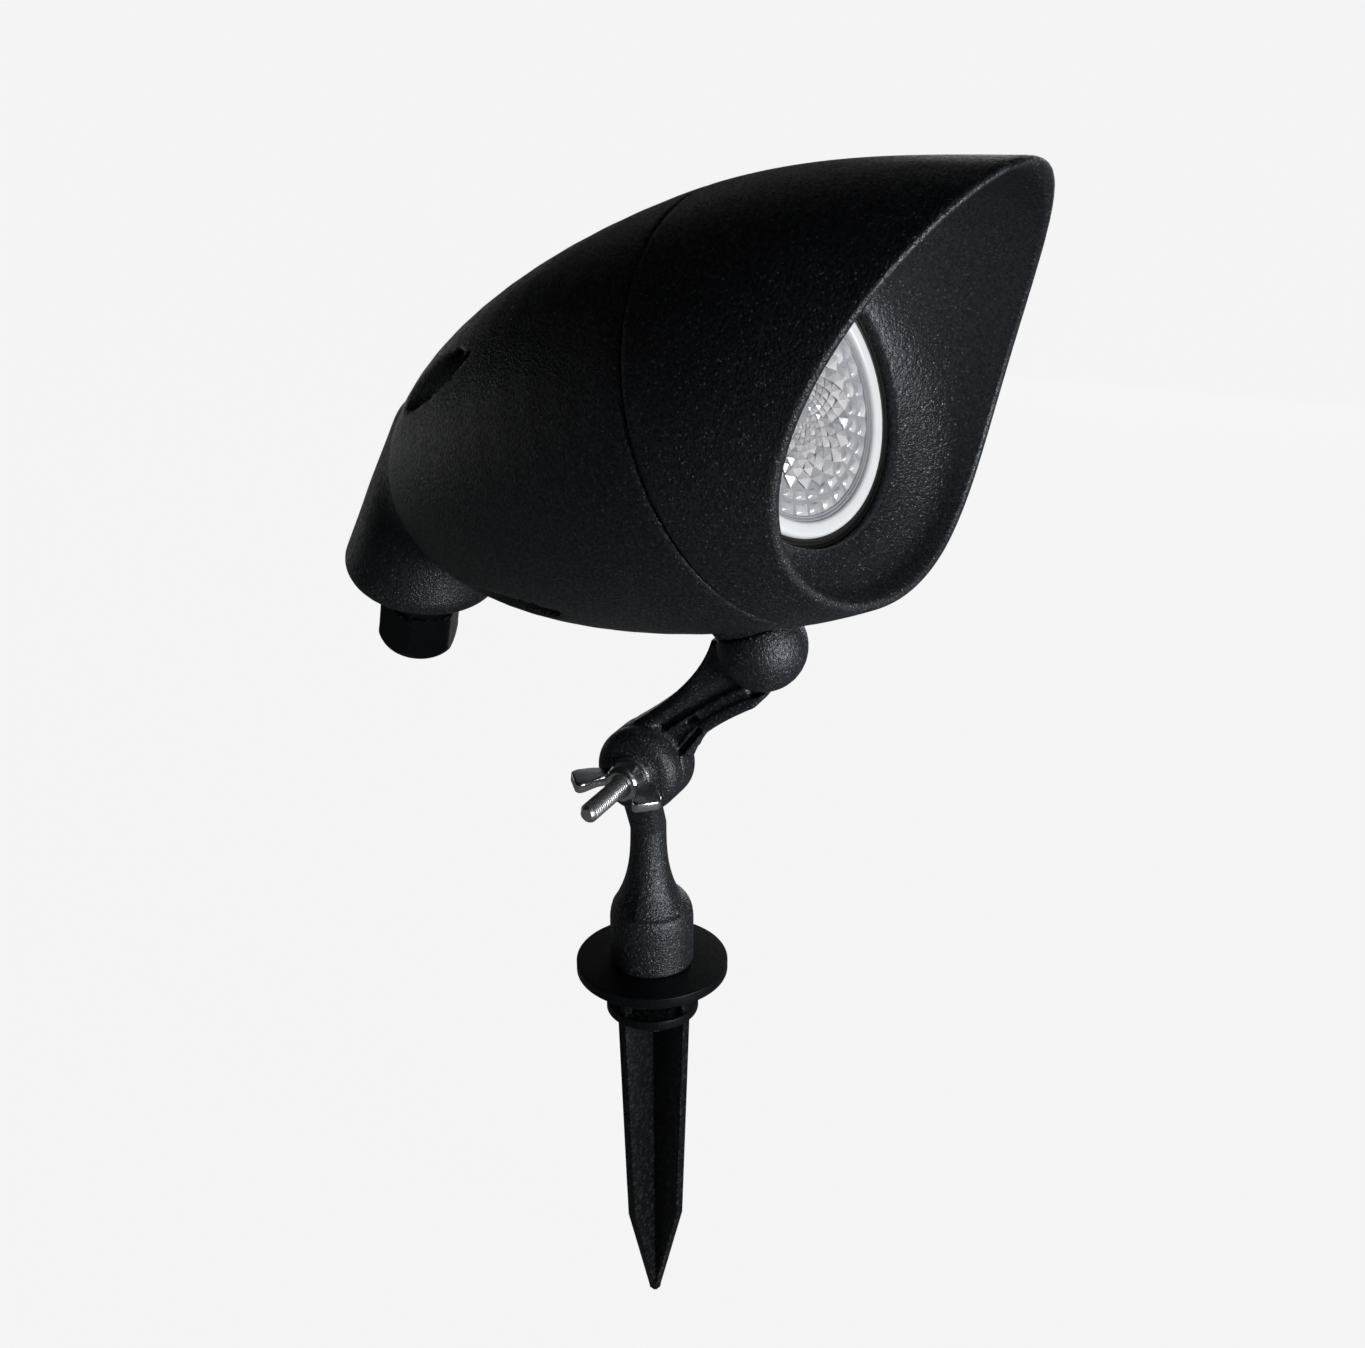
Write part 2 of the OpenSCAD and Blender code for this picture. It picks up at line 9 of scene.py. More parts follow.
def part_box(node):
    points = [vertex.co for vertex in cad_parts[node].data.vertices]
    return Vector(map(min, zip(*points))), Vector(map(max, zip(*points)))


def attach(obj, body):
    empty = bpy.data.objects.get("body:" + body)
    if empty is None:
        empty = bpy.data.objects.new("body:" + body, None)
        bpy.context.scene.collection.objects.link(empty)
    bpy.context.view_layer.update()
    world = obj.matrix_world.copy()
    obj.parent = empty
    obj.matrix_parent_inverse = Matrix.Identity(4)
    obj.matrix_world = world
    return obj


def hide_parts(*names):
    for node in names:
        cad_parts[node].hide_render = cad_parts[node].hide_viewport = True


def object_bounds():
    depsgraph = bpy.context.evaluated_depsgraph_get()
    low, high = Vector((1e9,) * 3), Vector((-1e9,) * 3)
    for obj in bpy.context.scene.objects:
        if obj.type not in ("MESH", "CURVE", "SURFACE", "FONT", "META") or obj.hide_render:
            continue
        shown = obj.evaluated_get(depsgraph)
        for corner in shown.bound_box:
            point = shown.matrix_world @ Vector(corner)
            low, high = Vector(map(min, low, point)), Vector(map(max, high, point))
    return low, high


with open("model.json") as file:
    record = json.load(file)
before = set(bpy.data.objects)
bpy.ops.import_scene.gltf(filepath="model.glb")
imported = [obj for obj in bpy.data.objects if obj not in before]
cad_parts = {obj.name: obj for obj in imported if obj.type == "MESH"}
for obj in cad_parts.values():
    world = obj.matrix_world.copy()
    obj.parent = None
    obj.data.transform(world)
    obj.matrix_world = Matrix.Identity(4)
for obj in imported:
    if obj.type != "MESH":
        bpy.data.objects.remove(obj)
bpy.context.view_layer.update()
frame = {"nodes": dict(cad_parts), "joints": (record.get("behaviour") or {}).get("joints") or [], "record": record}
record = frame["record"]
joints = {j["name"]: j for j in frame["joints"]}
mm = 0.001


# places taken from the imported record

def placeOf(origin, zAxis, yAxis):
    z = Vector(zAxis).normalized()
    y = (Vector(yAxis) - z * z.dot(Vector(yAxis))).normalized()
    x = y.cross(z)
    m = Matrix((x, y, z)).transposed().to_4x4()
    m.translation = Vector(origin)
    return m


beam = joints["lamp_twist"]
swivel = joints["head_swivel"]
inlet = joints["gland_nut_turn"]
elbow = joints["elbow"]
headPlace = placeOf(beam["pos_m"], beam["axis"], swivel["axis"])
glandPlace = placeOf(inlet["pos_m"], inlet["axis"], (1, 0, 0))
boltPlace = placeOf(elbow["pos_m"], (-1, 0, 0), (0, 1, 0))   # z points out of the wing nut's side
lampFront = 3.5   # how far the lamp stands before the seam of the head, in millimetres
lampPlace = headPlace @ Matrix.Translation((0, 0, lampFront * mm))


# mesh helpers

def addObject(name, mesh):
    piece = bpy.data.objects.new(name, mesh)
    bpy.context.scene.collection.objects.link(piece)
    return piece


def smoothShade(mesh, angle=35):
    mesh.shade_smooth()
    mesh.set_sharp_from_angle(angle=math.radians(angle))


def evaluatedMesh(piece):
    # the piece's mesh with its modifiers applied, which are then taken off
    mesh = bpy.data.meshes.new_from_object(piece.evaluated_get(bpy.context.evaluated_depsgraph_get()))
    piece.modifiers.clear()
    return mesh


def meshFrom(name, points, faces, place=None, angle=35):
    bm = bmesh.new()
    verts = [bm.verts.new(p) for p in points]
    for f in faces:
        if len(set(f)) > 2:
            bm.faces.new([verts[i] for i in f])
    bmesh.ops.remove_doubles(bm, verts=bm.verts, dist=1e-6)
    bmesh.ops.recalc_face_normals(bm, faces=bm.faces)
    mesh = bpy.data.meshes.new(name)
    bm.to_mesh(mesh)
    bm.free()
    if place is not None:
        mesh.transform(place)
    smoothShade(mesh, angle)
    return addObject(name, mesh)


def gridFaces(rows, cols, closeRows):
    faces = []
    for i in range(rows if closeRows else rows - 1):
        for j in range(cols):
            a, b = i * cols + j, i * cols + (j + 1) % cols
            c, d = ((i + 1) % rows) * cols + (j + 1) % cols, ((i + 1) % rows) * cols + j
            faces.append((a, b, c, d))
    return faces


def revolve(name, outline, place, steps=96, angle=35):
    # outline is a list of (radius, height) in millimetres, closed on itself or on the axis
    points = []
    for r, z in outline:
        for k in range(steps):
            a = 2 * math.pi * k / steps
            points.append((r * mm * math.cos(a), r * mm * math.sin(a), z * mm))
    onAxis = outline[0][0] < 1e-6
    faces = gridFaces(len(outline), steps, closeRows=not onAxis)
    return meshFrom(name, points, faces, place, angle)


def softened(node, voxel, passes, name=None):
    # a copy of a CAD node with its moulded edges rounded over
    mesh = frame["nodes"][node].data.copy()
    mesh.materials.clear()
    bm = bmesh.new()
    bm.from_mesh(mesh)
    bmesh.ops.remove_doubles(bm, verts=bm.verts, dist=1e-6)
    bm.to_mesh(mesh)
    bm.free()
    piece = addObject(name or node + "Soft", mesh)
    remesh = piece.modifiers.new("Remesh", "REMESH")
    remesh.mode = "VOXEL"
    remesh.voxel_size = voxel
    remesh.adaptivity = 0
    smooth = piece.modifiers.new("Smooth", "SMOOTH")
    smooth.factor = 0.5
    smooth.iterations = passes
    piece.data = evaluatedMesh(piece)
    smoothShade(piece.data, 60)
    return piece


# shader node groups

def newGroup(name, inputs, outputs):
    g = bpy.data.node_groups.new(name, "ShaderNodeTree")
    for n, kind, value in inputs:
        s = g.interface.new_socket(name=n, in_out="INPUT", socket_type=kind)
        s.default_value = value
    for n, kind in outputs:
        g.interface.new_socket(name=n, in_out="OUTPUT", socket_type=kind)
    return g, g.nodes.new("NodeGroupInput"), g.nodes.new("NodeGroupOutput")


def mathNode(tree, op, a, b=None, clamp=False):
    n = tree.nodes.new("ShaderNodeMath")
    n.operation = op
    n.use_clamp = clamp
    for k, v in enumerate((a, b)):
        if v is None:
            continue
        if isinstance(v, (int, float)):
            n.inputs[k].default_value = v
        else:
            tree.links.new(v, n.inputs[k])
    return n.outputs[0]


def rampNode(tree, value, low, high):
    n = tree.nodes.new("ShaderNodeMapRange")
    n.inputs["From Min"].default_value = low
    n.inputs["From Max"].default_value = high
    tree.links.new(value, n.inputs["Value"])
    return n.outputs[0]


def noiseNode(tree, vector, scale, detail=2, rough=0.5):
    n = tree.nodes.new("ShaderNodeTexNoise")
    n.inputs["Detail"].default_value = detail
    n.inputs["Roughness"].default_value = rough
    if isinstance(scale, (int, float)):
        n.inputs["Scale"].default_value = scale
    else:
        tree.links.new(scale, n.inputs["Scale"])
    tree.links.new(vector, n.inputs["Vector"])
    return n.outputs["Fac"]


sand = {"coarse": 0.62, "fine": 0.38, "fineScale": 2.1, "cellScale": 1.15, "rareFrom": 0.7, "dotRim": 0.42,
        "dotCentre": 0.15, "dotLift": 0.2, "cloudScale": 60, "toneFrom": 0.42, "toneTo": 0.6}


def buildSandGrain():
    # spark-eroded texture: a height for the bump, a tone for each grain and a mask of tiny pale specks, which are
    # painted glints of the grain's sparkle
    g, i, o = newGroup("sandGrain",
                       [("Scale", "NodeSocketFloat", 1500.0), ("Sparkle", "NodeSocketFloat", 0.5)],
                       [(n, "NodeSocketFloat") for n in ("Height", "Tone", "GlintSpecks", "Cloud")])
    coord = g.nodes.new("ShaderNodeTexCoord").outputs["Object"]
    scale = i.outputs["Scale"]
    coarse = noiseNode(g, coord, scale, 2, 0.55)
    fine = noiseNode(g, coord, mathNode(g, "MULTIPLY", scale, sand["fineScale"]), 2, 0.6)
    cell = g.nodes.new("ShaderNodeTexVoronoi")
    g.links.new(coord, cell.inputs["Vector"])
    g.links.new(mathNode(g, "MULTIPLY", scale, sand["cellScale"]), cell.inputs["Scale"])
    sep = g.nodes.new("ShaderNodeSeparateColor")
    g.links.new(cell.outputs["Color"], sep.inputs[0])
    rare = rampNode(g, sep.outputs[0], sand["rareFrom"], 1.0)
    dot = rampNode(g, cell.outputs["Distance"], sand["dotRim"], sand["dotCentre"])
    glintSpecks = mathNode(g, "MULTIPLY", mathNode(g, "MULTIPLY", rare, dot), i.outputs["Sparkle"])
    cloud = noiseNode(g, coord, sand["cloudScale"], 3, 0.55)
    lumps = mathNode(g, "ADD", mathNode(g, "MULTIPLY", coarse, sand["coarse"]),
                     mathNode(g, "MULTIPLY", fine, sand["fine"]))
    g.links.new(mathNode(g, "ADD", lumps, mathNode(g, "MULTIPLY", dot, sand["dotLift"])), o.inputs["Height"])
    g.links.new(rampNode(g, lumps, sand["toneFrom"], sand["toneTo"]), o.inputs["Tone"])
    g.links.new(glintSpecks, o.inputs["GlintSpecks"])
    g.links.new(cloud, o.inputs["Cloud"])
    return g


rubAndHighlightBreakup = {"scale": 900, "from": 0.5, "to": 0.66}


def buildEdgeRubAndHighlight():
    # paler line where a moulded edge stands proud: partly rubbed wear, partly a painted edge highlight
    g, i, o = newGroup("edgeRubAndHighlight", [("Low", "NodeSocketFloat", 0.52), ("High", "NodeSocketFloat", 0.6)],
                       [("Mask", "NodeSocketFloat")])
    geo = g.nodes.new("ShaderNodeNewGeometry")
    coord = g.nodes.new("ShaderNodeTexCoord").outputs["Object"]
    n = g.nodes.new("ShaderNodeMapRange")
    g.links.new(geo.outputs["Pointiness"], n.inputs["Value"])
    g.links.new(i.outputs["Low"], n.inputs["From Min"])
    g.links.new(i.outputs["High"], n.inputs["From Max"])
    broken = rampNode(g, noiseNode(g, coord, rubAndHighlightBreakup["scale"], 4, 0.7), rubAndHighlightBreakup["from"], rubAndHighlightBreakup["to"])
    g.links.new(mathNode(g, "MULTIPLY", n.outputs[0], broken), o.inputs["Mask"])
    return g


sandGrain = buildSandGrain()
edgeRubAndHighlight = buildEdgeRubAndHighlight()


def placeGroup(tree, group, **values):
    n = tree.nodes.new("ShaderNodeGroup")
    n.node_tree = group
    for k, v in values.items():
        n.inputs[k].default_value = v
    return n


def mixColour(tree, factor, a, b):
    n = tree.nodes.new("ShaderNodeMix")
    n.data_type = "RGBA"
    if isinstance(factor, (int, float)):
        n.inputs[0].default_value = factor
    else:
        tree.links.new(factor, n.inputs[0])
    for s, v in ((6, a), (7, b)):
        if isinstance(v, tuple):
            n.inputs[s].default_value = (*v, 1)
        else:
            tree.links.new(v, n.inputs[s])
    return n.outputs[2]


def newMaterial(name):
    m = bpy.data.materials.new(name)
    m.use_nodes = True
    return m, m.node_tree, m.node_tree.nodes["Principled BSDF"]


def setBump(tree, shader, height, strength, distance):
    b = tree.nodes.new("ShaderNodeBump")
    b.inputs["Strength"].default_value = strength
    b.inputs["Distance"].default_value = distance
    tree.links.new(height, b.inputs["Height"])
    tree.links.new(b.outputs[0], shader.inputs["Normal"])


skin = {"tint": (0.84, 0.92, 1), "glintColour": (0.17, 0.18, 0.2), "rubAndHighlightColour": (0.16, 0.16, 0.17),
        "toneShare": 0.8, "cloudShare": 0.3, "darker": 0.05, "toneGloss": 0.22, "speckGloss": 0.2}


def mouldedPlastic(name, dark, pale, roughness, grain, sparkle, bump, depth, rubAndHighlight, gloss):
    m, t, p = newMaterial(name)
    p.inputs["Specular IOR Level"].default_value = gloss
    p.inputs["Specular Tint"].default_value = (*skin["tint"], 1)
    g = placeGroup(t, sandGrain, Scale=grain, Sparkle=sparkle)
    e = placeGroup(t, edgeRubAndHighlight)
    drift = mathNode(t, "ADD", mathNode(t, "MULTIPLY", g.outputs["Tone"], skin["toneShare"]),
                     mathNode(t, "MULTIPLY", g.outputs["Cloud"], skin["cloudShare"]))
    base = mixColour(t, mathNode(t, "SUBTRACT", drift, skin["darker"], True), dark, pale)
    # pale specks painted into the colour: painted glints of the grain's sparkle
    base = mixColour(t, g.outputs["GlintSpecks"], base, skin["glintColour"])
    # proud edges turn paler: rubbed wear and a painted edge highlight
    base = mixColour(t, mathNode(t, "MULTIPLY", e.outputs["Mask"], rubAndHighlight), base, skin["rubAndHighlightColour"])
    t.links.new(base, p.inputs["Base Color"])
    rough = mathNode(t, "ADD", mathNode(t, "MULTIPLY", g.outputs["Tone"], -skin["toneGloss"]),
                     roughness + skin["toneGloss"] / 2)
    shine = mathNode(t, "MULTIPLY", g.outputs["GlintSpecks"], skin["speckGloss"])
    t.links.new(mathNode(t, "SUBTRACT", rough, shine), p.inputs["Roughness"])
    setBump(t, p, g.outputs["Height"], bump, depth)
    return m


def platedMetal(name, colour, roughness, brush, grime):
    m, t, p = newMaterial(name)
    p.inputs["Metallic"].default_value = 1
    coord = t.nodes.new("ShaderNodeTexCoord").outputs["Object"]
    cloud = noiseNode(t, coord, 240, 4, 0.6)
    fine = noiseNode(t, coord, 2600, 3, 0.6)
    t.links.new(mixColour(t, rampNode(t, cloud, 0.35, 0.8), colour, grime), p.inputs["Base Color"])
    rough = mathNode(t, "ADD", mathNode(t, "MULTIPLY", cloud, brush * 3), roughness - brush)
    t.links.new(rough, p.inputs["Roughness"])
    setBump(t, p, mathNode(t, "ADD", fine, cloud), 0.12, 0.00008)
    return m


def plainPiece(name, dark, pale, roughness, grain=900, bump=0.15):
    # lamp rim, seals and inner parts: colour drifts a little and the skin has a faint moulding texture
    m, t, p = newMaterial(name)
    coord = t.nodes.new("ShaderNodeTexCoord").outputs["Object"]
    cloud = noiseNode(t, coord, 120, 3, 0.6)
    fine = noiseNode(t, coord, grain, 3, 0.6)
    t.links.new(mixColour(t, rampNode(t, cloud, 0.3, 0.7), dark, pale), p.inputs["Base Color"])
    rough = mathNode(t, "ADD", mathNode(t, "MULTIPLY", fine, 0.15), roughness - 0.07)
    t.links.new(rough, p.inputs["Roughness"])
    setBump(t, p, fine, bump, 0.0001)
    return m


finish = {
    "sandBlack": dict(dark=(0, 0, 0), pale=(0.031, 0.0335, 0.041), roughness=0.4, grain=1450,
                      sparkle=1.0, bump=1.0, depth=0.00032, rubAndHighlight=0.7, gloss=0.75),
    "satinBlack": dict(dark=(0.0008, 0.001, 0.0016), pale=(0.0034, 0.0038, 0.005), roughness=0.4, grain=2600,
                       sparkle=0.12, bump=0.3, depth=0.0001, rubAndHighlight=0.5, gloss=0.3),
}
sandBlack = mouldedPlastic("sandBlack", **finish["sandBlack"])
satinBlack = mouldedPlastic("satinBlack", **finish["satinBlack"])
brightZinc = platedMetal("brightZinc", (0.95, 0.96, 0.97), 0.2, 0.04, (0.7, 0.71, 0.72))
boltZinc = platedMetal("boltZinc", (0.85, 0.86, 0.87), 0.34, 0.06, (0.5, 0.5, 0.51))
sealRubber = plainPiece("sealRubber", (0.0015, 0.0015, 0.0016), (0.004, 0.004, 0.0042), 0.6, 1400, 0.3)
rimWhite = plainPiece("rimWhite", (0.8, 0.82, 0.85), (0.88, 0.9, 0.92), 0.3, 500, 0.03)
lampWhite = plainPiece("lampWhite", (0.75, 0.76, 0.76), (0.85, 0.86, 0.86), 0.45)
phosphor = plainPiece("phosphor", (0.8, 0.62, 0.15), (0.9, 0.74, 0.22), 0.5)
circuitGreen = plainPiece("circuitGreen", (0.02, 0.12, 0.05), (0.05, 0.2, 0.08), 0.4, 1500, 0.4)
glazedCeramic = plainPiece("glazedCeramic", (0.72, 0.7, 0.64), (0.82, 0.8, 0.75), 0.22)
contactBrass = platedMetal("contactBrass", (0.72, 0.55, 0.24), 0.25, 0.04, (0.4, 0.28, 0.12))
nylonBody = plainPiece("nylonBody", (0.66, 0.66, 0.6), (0.78, 0.78, 0.72), 0.5)
sleeveBrown = plainPiece("sleeveBrown", (0.1, 0.045, 0.02), (0.16, 0.075, 0.035), 0.5, 1200, 0.2)
sleeveBlue = plainPiece("sleeveBlue", (0.03, 0.08, 0.3), (0.05, 0.13, 0.42), 0.5, 1200, 0.2)

slotMaterials = {
    "black_sand": sandBlack, "black_satin": satinBlack, "zinc": brightZinc, "rubber": sealRubber,
    "white_rim": rimWhite, "phosphor": phosphor, "circuit": circuitGreen, "ceramic": glazedCeramic,
    "brass": contactBrass, "nylon": nylonBody, "lead_brown": sleeveBrown, "lead_blue": sleeveBlue,
    "lens": rimWhite,
}
for part in record["subparts"]:
    node = frame["nodes"][part["node"]]
    node.data.materials.clear()
    node.data.materials.append(slotMaterials[part["material_slot"]])
for name in ("lamp_body", "lamp_base", "led_board"):
    frame["nodes"][name].data.materials[0] = lampWhite
print("materials done")


# hood: slanted mouth, scoop down to the lamp opening, lap joint at the back

hood = {
    "headRadius": 40.7, "bellyAt": -6.8, "bend": 106.0, "ease": 124.5, "wall": 2.2,
    "seamAt": 0.2, "lipAt": 13.5, "lipHeight": -40.3, "mouthBend": 0.0102,
    "openingRadius": 27.1, "openingAt": 4.7, "collarAt": -7.5, "flareAngle": 54, "flareReach": 8.0,
    "lipReach": 22.0, "lipRound": 1.15, "tipRound": 1.7, "seamEase": 0.25, "seamTop": 0.55, "searchTo": 75,
    "lapIn": 3.3, "lapDeep": 4, "steps": 240, "outerSteps": 40, "lipSteps": 10, "scoopSteps": 44,
}


def shellRadius(s, cut=0.0):
    d = s - hood["bellyAt"]
    return hood["headRadius"] * (1 - (d / hood["bend"]) ** 2 + (d / hood["ease"]) ** 4) - cut


def mouthAt(v):
    return hood["lipAt"] + hood["mouthBend"] * (v - hood["lipHeight"]) ** 2


def hoodSection(rIn, sIn):
    # one side of the scoop, from the edge of the lamp opening to the inside of the lip, as one smooth curve
    length = math.hypot(rIn - hood["openingRadius"], sIn - hood["openingAt"])
    first = min(0.4 * length, hood["flareReach"])
    last = min(0.42 * length, hood["lipReach"])
    lean = math.radians(hood["flareAngle"])
    rise = shellRadius(sIn + 0.5) - shellRadius(sIn - 0.5)
    slope = rise / math.hypot(1, rise)
    ends = [Vector((hood["openingRadius"], hood["openingAt"])), None, None, Vector((rIn, sIn))]
    ends[1] = ends[0] + first * Vector((math.sin(lean), math.cos(lean)))
    ends[2] = ends[3] - last * Vector((slope, math.sqrt(1 - slope * slope)))

    def at(t):
        u = 1 - t
        q = u ** 3 * ends[0] + 3 * t * u ** 2 * ends[1] + 3 * t * t * u * ends[2] + t ** 3 * ends[3]
        return min(q[0], shellRadius(q[1], hood["wall"])), q[1]
    return at


def crossing(cut, sine):
    # how far along the head the shell, thinned by the cut, meets the slanted mouth
    low, high = hood["seamAt"], hood["searchTo"]
    for _ in range(48):
        mid = (low + high) / 2
        if mouthAt(shellRadius(mid, cut) * sine) > mid:
            low = mid
        else:
            high = mid
    return low


def hoodOutline(sine):
    # the hood's outline at one turn about the beam: outside, lip, scoop, lamp opening and lap joint
    seam, ease, top = hood["seamAt"], hood["seamEase"], hood["seamTop"]
    sOut, sIn = crossing(0, sine), crossing(hood["wall"], sine)
    rOut, rIn = shellRadius(sOut), shellRadius(sIn, hood["wall"])
    back = hood["lipRound"] + hood["tipRound"] * max(0, sine) ** 6
    endOut = sOut - back
    rEnd = shellRadius(endOut)
    scoop = hoodSection(rIn, sIn)
    tBack = 1.0
    while math.hypot(rIn - scoop(tBack)[0], sIn - scoop(tBack)[1]) < back:
        tBack -= 0.004
    line = [(shellRadius(0.5) - ease, seam), (shellRadius(0.5), top)]
    for i in range(1, hood["outerSteps"] + 1):
        s = top + (endOut - top) * i / hood["outerSteps"]
        line.append((shellRadius(s), s))
    backIn = scoop(tBack)
    centre = ((rEnd + backIn[0]) / 2, (endOut + backIn[1]) / 2)
    half = ((rEnd - backIn[0]) / 2, (endOut - backIn[1]) / 2)
    crown = ((rOut + rIn) / 2 - centre[0], (sOut + sIn) / 2 - centre[1])
    for i in range(1, hood["lipSteps"]):
        b = math.pi * i / hood["lipSteps"]
        line.append((centre[0] + half[0] * math.cos(b) + crown[0] * math.sin(b),
                     centre[1] + half[1] * math.cos(b) + crown[1] * math.sin(b)))
    for i in range(hood["scoopSteps"]):
        line.append(scoop(tBack * (1 - i / (hood["scoopSteps"] - 0.5))))
    o, edge, collar = hood["openingRadius"], hood["openingAt"], hood["collarAt"]
    lap, deep = hood["headRadius"] - hood["lapIn"], hood["lapDeep"]
    groove = lap - hood["wall"]
    line += [(o + 0.12, edge + 0.02), (o, edge - 0.4), (o, edge - 3), (o, collar), (o + 1.5, collar),
             (o + 1.5, 2.2), (groove, 3.2), (groove, -deep), (lap, -deep), (lap, seam)]
    return line


def buildHood():
    rows = []
    for k in range(hood["steps"]):
        a = 2 * math.pi * k / hood["steps"]
        sine = math.sin(a)
        rows.append([(r * math.cos(a) * mm, r * sine * mm, s * mm) for r, s in hoodOutline(sine)])
    steps, count = len(rows), len(rows[0])
    points = [rows[k][i] for i in range(count) for k in range(steps)]
    piece = meshFrom("hoodShell", points, gridFaces(count, steps, closeRows=True), headPlace, 50)
    piece.data.materials.append(sandBlack)
    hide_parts("front_hood")
    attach(piece, "head")


buildHood()
print("hood done")


# rear shell: the cable boss flows into the shell

rear = {"length": 101.2, "voxel": 0.00086, "rounding": 3, "reach": 13.0, "passes": 170, "behind": -45.0,
        "proud": 0.5}


def relax(piece, weights, passes):
    # smooths the weighted points, given by their index
    group = piece.vertex_groups.new(name="relax")
    for i, w in weights.items():
        group.add([i], w, "REPLACE")
    smooth = piece.modifiers.new("Smooth", "SMOOTH")
    smooth.vertex_group = "relax"
    smooth.factor = 0.5
    smooth.iterations = passes
    result = evaluatedMesh(piece)
    piece.vertex_groups.clear()
    piece.data = result
    smoothShade(result, 60)


def buildRear():
    piece = softened("rear_housing", rear["voxel"], rear["rounding"], "rearShell")
    toHead = headPlace.inverted()
    shell, boss = [], []
    for v in piece.data.vertices:
        x, y, s = (c / mm for c in toHead @ v.co)
        if s > rear["behind"]:
            continue
        d = (s - hood["bellyAt"]) / rear["length"]
        proud = math.hypot(x, y) - hood["headRadius"] * math.sqrt(max(0, 1 - d * d))
        if abs(proud) < rear["proud"]:
            shell.append(v)
        elif proud > rear["proud"]:
            boss.append(v)
    weights = {}
    for these, others in ((shell, boss), (boss, shell)):
        tree = KDTree(len(others))
        for k, v in enumerate(others):
            tree.insert(v.co, k)
        tree.balance()
        for v in these:
            near = tree.find(v.co)[2] / mm / rear["reach"]
            if near < 1:
                weights[v.index] = (1 - near * near) ** 2
    relax(piece, weights, rear["passes"])
    piece.data.materials.append(sandBlack)
    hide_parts("rear_housing")
    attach(piece, "head")
    print("rear shell", len(piece.data.polygons), "faces")


buildRear()


# bracket arms: moulded pieces with rounded edges

moulded = {  # body, then voxel in metres and smoothing passes: how far the edges are rounded
    "upper_arm": ("upper_arm_body", 0.00032, 10),
    "lower_arm": ("lower_arm_body", 0.00036, 4),
}
domed = {"from": 43.5, "plane": -4.6, "fade": 2.2, "passes": 90}


def domeDisc(piece):
    # the hinge disc of the lower arm is a low dome on the nut's side
    weights = {}
    for v in piece.data.vertices:
        x, z = v.co.x / mm, v.co.z / mm
        if z > domed["from"] and x < domed["plane"]:
            across = min(1, (domed["plane"] - x) / domed["fade"])
            weights[v.index] = across * min(1, (z - domed["from"]) / domed["fade"])
    relax(piece, weights, domed["passes"])


for node, (body, voxel, passes) in moulded.items():
    piece = softened(node, voxel, passes)
    if node == "lower_arm":
        domeDisc(piece)
    piece.data.materials.append(sandBlack)
    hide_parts(node)
    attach(piece, body)
    print(node, len(piece.data.polygons), "faces")


# stake: flange, collar ring, posts and crossed fins with crisp moulded edges

stake = {"flangeThick": 2.5, "ringLow": -10.1, "ringThick": 2.2, "ringRadius": 10.3, "hole": 3.5,
         "spigot": 6.95, "spigotTop": 15, "core": 3.6, "coreDown": -15, "finTurn": 30, "finThick": 2.2,
         "finRadius": 10.2, "taperAt": -65, "taper": 2.2, "tip": 0.8, "innerCross": 5.6, "postAt": 7.6,
         "postDeep": 2.2, "postWide": 1.8, "postTop": 0.9, "edge": 0.22}


def quarter(r, z, radius, start, steps=6):
    # a rounded corner of an outline, a quarter turn from the start angle in degrees
    turns = [math.radians(start + 90 * k / steps) for k in range(steps + 1)]
    return [(r + radius * math.cos(a), z + radius * math.sin(a)) for a in turns]


def bevelled(piece, width, angle=40, segments=3):
    bevel = piece.modifiers.new("Bevel", "BEVEL")
    bevel.width = width * mm
    bevel.segments = segments
    bevel.limit_method = "ANGLE"
    bevel.angle_limit = math.radians(angle)
    piece.data = evaluatedMesh(piece)
    smoothShade(piece.data, 60)
    return piece


def plateFaces(count):
    # the faces of a plate whose two outlines have that many points each
    faces = [tuple(range(count)), tuple(range(2 * count - 1, count - 1, -1))]
    return faces + [(i, (i + 1) % count, count + (i + 1) % count, count + i) for i in range(count)]


def slab(name, outline, low, high, place, width):
    # an outline in the x-z plane made a plate from low to high along y, with its edges eased
    points = [(x * mm, y * mm, z * mm) for y in (low, high) for x, z in outline]
    piece = bevelled(meshFrom(name, points, plateFaces(len(outline)), None, 60), width)
    piece.data.transform(place)
    return piece


def joined(name, pieces):
    bm = bmesh.new()
    for piece in pieces:
        bm.from_mesh(piece.data)
        bpy.data.objects.remove(piece)
    mesh = bpy.data.meshes.new(name)
    bm.to_mesh(mesh)
    bm.free()
    smoothShade(mesh, 40)
    return addObject(name, mesh)


